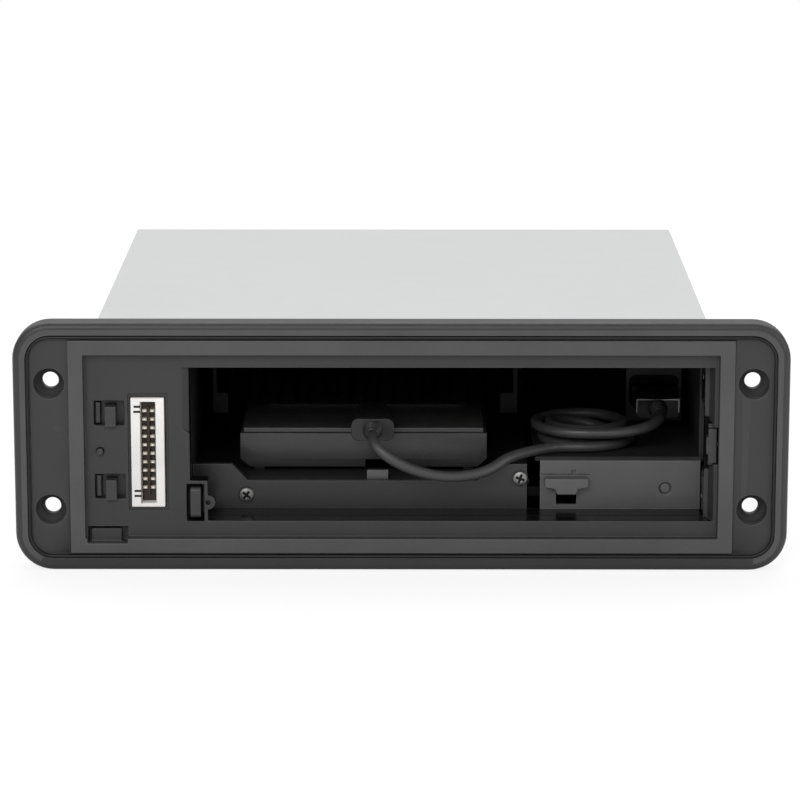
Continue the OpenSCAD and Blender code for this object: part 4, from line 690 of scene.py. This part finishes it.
def solid_middles(node):
    """The middles, in millimetres, of the boxes of a CAD node's separate solids."""
    shape = bmesh.new()
    shape.from_mesh(frame["nodes"][node].data)
    bmesh.ops.remove_doubles(shape, verts=shape.verts, dist=1e-6)
    left, middles = set(shape.verts), []
    while left:
        found, todo = [], [left.pop()]
        while todo:
            vert = todo.pop()
            found.append(vert.co * 1000)
            beside = [edge.other_vert(vert) for edge in vert.link_edges]
            todo += [other for other in beside if other in left]
            left.difference_update(beside)
        middles.append(tuple((np.min(found, 0) + np.max(found, 0)) / 2))
    shape.free()
    return sorted(middles)


def drive_screws(node, sizes, seats, seed, finish):
    """Puts a screw of the given sizes on each seat, a place in millimetres and an outward direction."""
    screw = screw_mesh(node + "_pattern", *sizes)
    head_r, head_h = 1000 * sizes[0], 1000 * sizes[1]
    reach, depth, edge, seat_gap = 0.66 * head_r, 0.85 * head_h, 1.1 * head_r, 0.05

    # painted shade: the cross recess and the outer side of each head take the near-black recess_shade, a dark
    # outline round the head
    def in_recess(at, normal):
        for seat, out in seats:
            from_seat, axis = at - Vector(seat), Vector(out)
            height = from_seat.dot(axis)
            from_axis = (from_seat - height * axis).length
            if seat_gap < height < depth and (from_axis < reach or abs(normal.dot(axis)) < 0.4):
                return 1 if from_axis < edge else 0
        return 0

    start = bpy.data.meshes.new(node + "_set")
    start.from_pydata([Vector(at) / 1000 for at, _ in seats], [], [])
    outward = start.attributes.new("outward", "FLOAT_VECTOR", "POINT")
    outward.data.foreach_set("vector", [float(c) for _, out in seats for c in out])
    values = {"Screw": screw, "Turn seed": seed, "Finish": finish}
    piece = grown(node + "_set", screw_set, values, start)
    bpy.data.objects.remove(screw)
    dress(piece, finish, recess_shade, choose=in_recess)
    stand_for(piece, node)


side_wall, apron_face, board_top = 91.0, 8.0, -24.8
sides = [(1 if x > 0 else -1, y, z) for x, y, z in solid_middles("case_screws")]
case_seats = [((side_wall * side, y, z), (side, 0, 0)) for side, y, z in sides]
drive_screws("case_screws", (0.0029, 0.0017, 0.0015, 0.0026), case_seats, 7, screw_steel)
apron_seats = [((x, apron_face, z), (0, -1, 0)) for x, y, z in solid_middles("apron_screws")]
drive_screws("apron_screws", (0.0023, 0.0012, 0.0012, 0.006), apron_seats, 3, screw_dull)
board_seats = [((x, y, board_top), (0, 0, 1)) for x, y, z in solid_middles("board_screws")]
drive_screws("board_screws", (0.0029, 0.0017, 0.0015, 0.0042), board_seats, 11, screw_steel)


# Bay: the matt black tub behind the bezel, with its stepped floor, and the two guides that hang from the
# ceiling above the dock. Injection mouldings, clipped and screwed inside the chassis.
inner_black = moulded(
    "inner_black", grey(0.02), 0.42, pits=1800.0, depth=0.000002, rub_and_highlight=0.0, dust=0.01, specular=0.3
)
guide_black = moulded("guide_black", grey(0.003), 0.2, depth=0.000002, rub_and_highlight=0.8, dust=0.0, specular=0.05)
sill_back = 8.2
for node, material in (("bay_tub", inner_black), ("left_guide", guide_black), ("right_guide", guide_black)):
    piece = soften(node, 0.0003, node + "_moulding")
    # painted shade: the upward faces in front of the sill take the near-black sill gloss
    dress(piece, material, sill_gloss, choose=lambda at, normal: int(at.y < sill_back and normal.z > 0.7))
    stand_for(piece, node)


# Apron and control ledge: satin dark grey mouldings across the front of the bay, one shaped round the tray
# and held by two screws, and one carrying the release tab and the reset button.
apron_grain = moulded("apron_grain", grey(0.022), 0.36, depth=0.000006, rub_and_highlight=0.9, dust=0.05)
ledge_grain = moulded("ledge_grain", grey(0.078), 0.36, depth=0.00001, rub_and_highlight=0.9, dust=0.05)
for node, material, slot in (
    ("dock_apron", apron_grain, "apron_plastic"), ("control_ledge", ledge_grain, "ledge_plastic"),
):
    piece = soften(node, 0.00012, node + "_moulding")
    dress(piece, material)
    stand_for(piece, node)


# Tray runners: two rails of slippery graphite-filled plastic on the bay's floor, inside the tray's walls,
# moulded by themselves and pressed on to the tub.
runner_dark = moulded("runner_dark", grey(0.03), 0.4, pits=1200.0, depth=0.000005, rub_and_highlight=0.1, dust=0.1)
finish_node("tray_runners", runner_dark)


# Dock tray: a bevelled black shell that slides on the runners, its top plate let in, and a ribbed rubber
# non-slip mat. The plate is clipped on and the mat glued in its sink.
tray_black = moulded("tray_black", grey(0.045), 0.3, pits=2400.0, depth=0.000008, rub_and_highlight=0.5, dust=0.1)
bed_black = moulded("bed_black", grey(0.05), 0.34, pits=2400.0, depth=0.00001, rub_and_highlight=0.5, dust=0.12)
mat_rubber = moulded(
    "mat_rubber", grey(0.014), 0.62, pits=1500.0, depth=0.00003, rub_and_highlight=0.1, dust=0.16, specular=0.35
)
for node, radius, material in (("dock_tray", 0.0002, tray_black), ("tray_bed", 0.0003, bed_black)):
    piece = soften(node, radius, node + "_moulding", 3)
    dress(piece, material)
    stand_for(piece, node)
mat = soften("tray_mat", 0.0002, "tray_mat_sheet")
dress(mat, mat_rubber)
stand_for(mat, "tray_mat")


# Release tab and latch: a satin black thumb tab on a stem through the ledge, and the black-coated strip
# behind it whose tooth stops the tray. Small springs of drawn wire push the moving pieces back.
# partly painted highlight: this mid grey stands in for the glossy top of the tab as well as its own colour
tab_black = moulded("tab_black", grey(0.085), 0.28, depth=0.000008, rub_and_highlight=0.8, dust=0.05)
latch_coat = plated("latch_coat", grey(0.01), 0.5, metallic=1.0, tarnish=0.3, rub_and_highlight=0.2)
spring_wire = plated("spring_wire", (0.48, 0.48, 0.47), 0.3, lines=12000.0)
tooth_end = 8.0
for node, radius, material, slot in (
    ("release_tab", 0.0003, tab_black, "tab_black"), ("latch_bar", 0.0002, latch_coat, "latch_steel"),
):
    piece = soften(node, radius, node + "_piece", 3)
    shape = bmesh.new()
    shape.from_mesh(piece.data)
    whole = [*shape.verts, *shape.edges, *shape.faces]
    bmesh.ops.bisect_plane(shape, geom=whole, plane_co=(tooth_end / 1000, 0, 0), plane_no=(1, 0, 0))
    shape.to_mesh(piece.data)
    shape.free()
    dress(piece, material, tab_black, choose=lambda at, normal: int(at.x < tooth_end))
    stand_for(piece, node)
wire_spring, given = grow_tree("wire_spring", {
    "Turns": 6.0, "Radius": 0.001, "Length": 0.008, "Wire": 0.0002, "Lie": (0.0, 0.0, 0.0),
    "Foot": (0.0, 0.0, 0.0),
})
both_ends = reckon(wire_spring, "MULTIPLY", given["Wire"], 2.0)
helix = add(wire_spring, "GeometryNodeCurveSpiral", {
    "Resolution": 24, "Rotations": given["Turns"], "Start Radius": given["Radius"],
    "End Radius": given["Radius"], "Height": reckon(wire_spring, "SUBTRACT", given["Length"], both_ends),
})
section = add(wire_spring, "GeometryNodeCurvePrimitiveCircle", {"Resolution": 8, "Radius": given["Wire"]})
wound = add(wire_spring, "GeometryNodeCurveToMesh", {
    "Curve": helix.outputs["Curve"], "Profile Curve": section.outputs["Curve"], "Fill Caps": True,
})
lifted = add(wire_spring, "GeometryNodeTransform", {
    "Geometry": wound.outputs["Mesh"], "Translation": vector(wire_spring, Z=given["Wire"]),
})
moved = add(wire_spring, "GeometryNodeTransform", {
    "Geometry": lifted.outputs["Geometry"], "Translation": given["Foot"], "Rotation": given["Lie"],
})
close_tree(wire_spring, given, moved.outputs["Geometry"])
for node, joint, axis, up, lie, turns, radius, wire, keep in (
    ("latch_spring", "tab_slide", 2, 1, (0.0, 0.0, 0.0), 6.0, 0.00105, 0.0002, 0.48),
    ("ejector_spring", "ejector_press", 1, -1, (math.pi / 2, 0.0, 0.0), 5.0, 0.0012, 0.0002, 0.53),
    ("catch_spring", "catch_press", 0, -1, (0.0, -math.pi / 2, 0.0), 6.0, 0.00085, 0.00015, 0.65),
):
    low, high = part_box(node)
    foot = (low + high) / 2
    foot[axis] = low[axis] if up > 0 else high[axis]
    spring = grown(node + "_coil", wire_spring, {
        "Turns": turns, "Radius": radius, "Length": high[axis] - low[axis], "Wire": wire, "Lie": lie,
        "Foot": tuple(foot), "Finish": spring_wire,
    })
    stand_for(spring, node)
    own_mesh(spring)


# Reset button and the small switches: a round satin button in a dished hole of the ledge, and black
# switch bodies soldered to the front board.
switch_black = moulded("switch_black", grey(0.02), 0.45, pits=2000.0, depth=0.000008, rub_and_highlight=0.3)
button = soften("reset_button", 0.0003, "reset_button_moulding", 3)
dress(button, tab_black)
stand_for(button, "reset_button")
for node in ("reset_switch", "sense_switch"):
    finish_node(node, switch_black)


# Panel connector: an off-white nylon shell set in the panel, a dark brown core in its slot and two rows of
# plated contacts that meet the face panel's own connector. Moulded, with the contacts pressed in.
nylon_white = moulded(
    "nylon_white", (0.79, 0.775, 0.755), 0.42, pits=1500.0, depth=0.000005, rub_and_highlight=0.0, dust=0.1
)
core_brown = moulded("core_brown", (0.03, 0.02, 0.014), 0.5, pits=2000.0, depth=0.000006, rub_and_highlight=0.2)
contact_plate = plated("contact_plate", (0.95, 0.91, 0.82), 0.34, lines=14000.0, tarnish=0.08)
groove_left, groove_right, groove_front, groove_floor = -78.0, -75.6, -6.75, -5.9


def in_groove(at):
    return groove_left < at.x < groove_right and groove_front < at.y < groove_floor


for node, radius, material, slot in (
    ("panel_connector", 0.0003, nylon_white, "connector_white"),
    ("connector_core", 0.0002, core_brown, "core_black"),
):
    piece = soften(node, radius, node + "_moulding", 3)
    dress(piece, material, core_brown, choose=lambda at, normal: int(in_groove(at)))
    stand_for(piece, node)
pin_rows, given = grow_tree("pin_rows", {
    "Rows": 2, "Pins a row": 10, "Pitch": 0.00254, "Row gap": 0.0029, "Width": 0.00064, "Height": 0.00064,
    "Length": 0.007, "Tip": 0.0006, "Place": (0.0, 0.0, 0.0), "Turn": (0.0, 0.0, 0.0),
})
last = reckon(pin_rows, "SUBTRACT", given["Pins a row"], 1.0)
grid = add(pin_rows, "GeometryNodeMeshGrid", {
    "Size X": given["Row gap"], "Size Y": reckon(pin_rows, "MULTIPLY", given["Pitch"], last),
    "Vertices X": given["Rows"], "Vertices Y": given["Pins a row"],
})
stem_size = vector(pin_rows, X=given["Width"], Y=given["Height"], Z=given["Length"])
stem = add(pin_rows, "GeometryNodeMeshCube", {"Size": stem_size})
taper = add(pin_rows, "GeometryNodeMeshCone", {
    "Vertices": 4, "Radius Top": 0.32, "Radius Bottom": math.sqrt(0.5), "Depth": given["Tip"],
})
squared = add(pin_rows, "GeometryNodeTransform", {
    "Geometry": taper.outputs["Mesh"], "Rotation": (0.0, 0.0, math.pi / 4),
})
tipped = add(pin_rows, "GeometryNodeTransform", {
    "Geometry": squared.outputs["Geometry"],
    "Scale": vector(pin_rows, X=given["Width"], Y=given["Height"], Z=1.0),
    "Translation": vector(pin_rows, Z=reckon(pin_rows, "MULTIPLY", given["Length"], 0.5)),
})
pin = add(pin_rows, "GeometryNodeJoinGeometry")
for part in (stem.outputs["Mesh"], tipped.outputs["Geometry"]):
    pin_rows.links.new(part, pin.inputs[0])
pins = add(
    pin_rows, "GeometryNodeInstanceOnPoints", {"Points": grid.outputs["Mesh"], "Instance": pin.outputs[0]}
)
moved = add(pin_rows, "GeometryNodeTransform", {
    "Geometry": pins.outputs["Instances"], "Translation": given["Place"], "Rotation": given["Turn"],
})
close_tree(pin_rows, given, moved.outputs["Geometry"], False)
low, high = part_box("connector_pins")
for name, gap, width, height, length, tip, front in (
    ("connector_stems", 0.0029, 0.00064, 0.00064, 0.0046, 0.0004, low.y + 0.002),
    ("connector_contacts", 0.00224, 0.0013, 0.001, 0.0019, 0.0004, low.y),
):
    contacts = grown(name, pin_rows, {
        "Rows": 2, "Pins a row": 10, "Pitch": 0.00254, "Row gap": gap, "Width": width, "Height": height,
        "Length": length, "Tip": tip,
        "Place": ((low.x + high.x) / 2, front + tip + length / 2, (low.z + high.z) / 2),
        "Turn": (math.pi / 2, 0.0, 0.0), "Finish": contact_plate,
    })
    stand_for(contacts, "connector_pins")


# Panel fittings: two hooks that take the face panel's claws, a sense pin, a spring ejector block at the
# bay's corner and a sliding catch on the right. Satin black mouldings held behind the panel's skin.
fitting_black = moulded("fitting_black", grey(0.032), 0.4, depth=0.00001, rub_and_highlight=0.8, dust=0.05)
for node, slot in (
    ("panel_hooks", "satin_black"), ("sense_pin", "switch_black"), ("panel_ejector", "tab_black"),
    ("panel_catch", "satin_black"),
):
    piece = soften(node, 0.0003, node + "_moulding", 3)
    dress(piece, fitting_black)
    stand_for(piece, node)
finish_node("catch_keeper", latch_coat)


# USB socket and its bracket: a black moulded bracket that hangs from the bay's ceiling and holds the socket's
# folded shell. The shell is coloured dark grey as painted shade, and the faces of the pocket above the plug
# take the guides' near-black as painted shade.
socket_shell = plated("socket_shell", grey(0.06), 0.42, tarnish=0.3)
pocket_from = 61.5
for node, radius, material, slot in (
    ("usb_bracket", 0.0003, inner_black, "inner_black"), ("usb_socket", 0.0001, socket_shell, "tin_plate"),
):
    piece = soften(node, radius, node + "_piece")
    # painted shade: backward-facing faces behind the pocket's front take the guides' near-black
    dress(piece, material, guide_black, choose=lambda at, normal: int(normal.y < -0.5 and at.y > pocket_from))
    stand_for(piece, node)


# Boards and what stands on them: glass-fibre boards with copper tracks under a green or black mask, black
# chips, a tin-plated tuner can, sleeved capacitors, a copper-wound choke and a flat ribbon between boards.
# The green mask is kept near black and the tuner can takes the black coat, both as painted shade.
def masked_board(name, plain, over_track, fibre):
    material, tree, place, surface = finish_tree(name)
    tracks = add(
        tree, "ShaderNodeTexBrick", {"Vector": place, "Scale": 140.0, "Mortar Size": 0.06, "Bias": 0.2}
    )
    weave = add(tree, "ShaderNodeTexNoise", {"Vector": place, "Scale": 900.0, "Detail": 4.0}).outputs["Fac"]
    base = blended(tree, tracks.outputs["Fac"], plain, over_track)
    base = blended(tree, ranged(tree, weave, 0.4, 0.7, 0.0, 0.25), base, fibre)
    tree.links.new(base, surface["Base Color"])
    tree.links.new(ranged(tree, weave, 0.3, 0.7, 0.22, 0.34), surface["Roughness"])
    bump = add(
        tree, "ShaderNodeBump", {"Strength": 1.0, "Distance": 0.00002, "Height": tracks.outputs["Fac"]}
    )
    tree.links.new(bump.outputs["Normal"], surface["Normal"])
    return material


green_mask = masked_board("green_mask", (0.002, 0.009, 0.004), (0.003, 0.014, 0.006), (0.004, 0.016, 0.007))
black_mask = masked_board("black_mask", grey(0.006), grey(0.012), grey(0.018))
chip_black = moulded("chip_black", grey(0.016), 0.55, pits=3000.0, depth=0.000008, rub_and_highlight=0.2)
sleeve_blue = moulded("sleeve_blue", (0.012, 0.018, 0.06), 0.25, pits=600.0, depth=0.000004, rub_and_highlight=0.1)
copper_wire = plated("copper_wire", (0.62, 0.3, 0.13), 0.28, lines=3000.0)
ribbon_grey = moulded("ribbon_grey", grey(0.42), 0.5, pits=1500.0, depth=0.00001, rub_and_highlight=0.1)
# painted shade: the main board's green is kept near black, and the tuner can takes the black coat instead of
# tin
for node, material in (
    ("main_board", green_mask), ("front_board", black_mask), ("processor_chip", chip_black),
    ("amplifier_chip", chip_black), ("tuner_can", latch_coat), ("power_capacitors", sleeve_blue),
    ("front_ribbon", ribbon_grey), ("filter_choke", copper_wire),
):
    finish_node(node, material)


# Rear: a black anodised extruded heat sink, the vehicle harness's power socket, the aerial socket, four
# line-out sockets and a blade fuse in its holder, all fixed through the rear panel.
anodised = plated("anodised", grey(0.045), 0.42, lines=5000.0, metallic=0.7, tarnish=0.3, rub_and_highlight=0.5)
fin_row, given = grow_tree("fin_row", {
    "Fins": 13, "Width": 0.062, "Height": 0.046, "Base": 0.003, "Depth": 0.012, "Fin thickness": 0.0016,
    "Place": (0.0, 0.0, 0.0),
})
free = reckon(fin_row, "SUBTRACT", given["Width"], given["Fin thickness"])
step = reckon(fin_row, "DIVIDE", free, reckon(fin_row, "SUBTRACT", given["Fins"], 1.0))
first = vector(
    fin_row, X=reckon(fin_row, "MULTIPLY", free, -0.5), Y=reckon(fin_row, "MULTIPLY", given["Depth"], 0.5)
)
row = add(fin_row, "GeometryNodeMeshLine", {
    "Count": given["Fins"], "Start Location": first, "Offset": vector(fin_row, X=step),
})
fin_size = vector(fin_row, X=given["Fin thickness"], Y=given["Depth"], Z=given["Height"])
fin = add(fin_row, "GeometryNodeMeshCube", {"Size": fin_size})
fins = add(
    fin_row, "GeometryNodeInstanceOnPoints", {"Points": row.outputs["Mesh"], "Instance": fin.outputs["Mesh"]}
)
back_size = vector(fin_row, X=free, Y=given["Base"], Z=given["Height"])
back = add(fin_row, "GeometryNodeMeshCube", {"Size": back_size})
seated = add(fin_row, "GeometryNodeTransform", {
    "Geometry": back.outputs["Mesh"],
    "Translation": vector(fin_row, Y=reckon(fin_row, "MULTIPLY", given["Base"], 0.5)),
})
whole = add(fin_row, "GeometryNodeJoinGeometry")
for part in (seated.outputs["Geometry"], fins.outputs["Instances"]):
    fin_row.links.new(part, whole.inputs[0])
moved = add(fin_row, "GeometryNodeTransform", {"Geometry": whole.outputs[0], "Translation": given["Place"]})
close_tree(fin_row, given, moved.outputs["Geometry"], False)
low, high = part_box("heat_sink")
sink = grown("heat_sink_extrusion", fin_row, {
    "Fins": 13, "Width": high.x - low.x, "Height": high.z - low.z, "Base": 0.003, "Depth": high.y - low.y,
    "Fin thickness": 0.0016, "Place": ((low.x + high.x) / 2, low.y, (low.z + high.z) / 2), "Finish": anodised,
})
stand_for(sink, "heat_sink")
fuse_amber, tree, place, surface = finish_tree("fuse_amber")
haze = add(tree, "ShaderNodeTexNoise", {"Vector": place, "Scale": 300.0, "Detail": 4.0}).outputs["Fac"]
tree.links.new(blended(tree, haze, (0.5, 0.14, 0.02), (0.66, 0.24, 0.05)), surface["Base Color"])
tree.links.new(ranged(tree, haze, 0.3, 0.7, 0.14, 0.24), surface["Roughness"])
for node, material, slot in (
    ("power_socket", switch_black, "switch_black"), ("aerial_socket", tin_plate, "tin_plate"),
    ("line_out_sockets", switch_black, "switch_black"), ("fuse_holder", switch_black, "switch_black"),
    ("blade_fuse", fuse_amber, "fuse_amber"),
):
    piece = soften(node, 0.0002, node + "_piece")
    dress(piece, material)
    stand_for(piece, node)
finish_node("power_pins", contact_plate)


# Studio: a white sweep to stand on, an even bright surround and three large soft boxes.
# The surround and the sweep show white to the camera and to transmission rays.
surround = bpy.data.worlds.new("surround")
scene.world = surround
surround.use_nodes = True
tree = surround.node_tree
tree.nodes.clear()
rays = add(tree, "ShaderNodeLightPath").outputs
seen = reckon(tree, "MAXIMUM", rays["Is Camera Ray"], rays["Is Transmission Ray"])
glow = add(
    tree, "ShaderNodeBackground", {"Color": (1, 1, 1, 1), "Strength": ranged(tree, seen, 0.0, 1.0, 0.55, 1.0)}
)
add(tree, "ShaderNodeOutputWorld", {"Surface": glow.outputs["Background"]})

floor_z, half_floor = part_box("front_bezel")[0].z, 0.9
around = ((-1, -1), (1, -1), (1, 1), (-1, 1))
floor_mesh = bpy.data.meshes.new("floor")
floor_mesh.from_pydata([(x * half_floor, y * half_floor, floor_z) for x, y in around], [], [(0, 1, 2, 3)])
white_sweep = bpy.data.materials.new("white_sweep")
white_sweep.use_nodes = True
tree = white_sweep.node_tree
tree.nodes.clear()
rays = add(tree, "ShaderNodeLightPath").outputs
seen = reckon(tree, "MAXIMUM", rays["Is Camera Ray"], rays["Is Transmission Ray"])
paper = add(tree, "ShaderNodeBsdfDiffuse", {"Color": (0.86, 0.86, 0.86, 1)})
lit = add(tree, "ShaderNodeEmission", {"Strength": 1.07})
sweep = add(tree, "ShaderNodeMixShader", {
    0: reckon(tree, "MULTIPLY", seen, 0.76), 1: paper.outputs["BSDF"], 2: lit.outputs["Emission"],
})
add(tree, "ShaderNodeOutputMaterial", {"Surface": sweep.outputs["Shader"]})
show("floor", floor_mesh, white_sweep)


def soft_box(name, place, target, size, power):
    lamp = bpy.data.lights.new(name, "AREA")
    lamp.shape, lamp.energy = "RECTANGLE", power
    lamp.size, lamp.size_y = size
    box = bpy.data.objects.new(name, lamp)
    box.location = place
    box.rotation_euler = (Vector(target) - Vector(place)).to_track_quat("-Z", "Y").to_euler()
    scene.collection.objects.link(box)


soft_box("overhead_box", (0, 0.7, 1.1), (0, 0.1, 0), (1.8, 1.0), 11)
soft_box("front_box", (-0.5, -1.5, 1.0), (0, 0, 0), (1.2, 0.8), 13)
soft_box("side_box", (1.3, -0.7, 0.5), (0, 0, 0), (0.7, 0.9), 4)
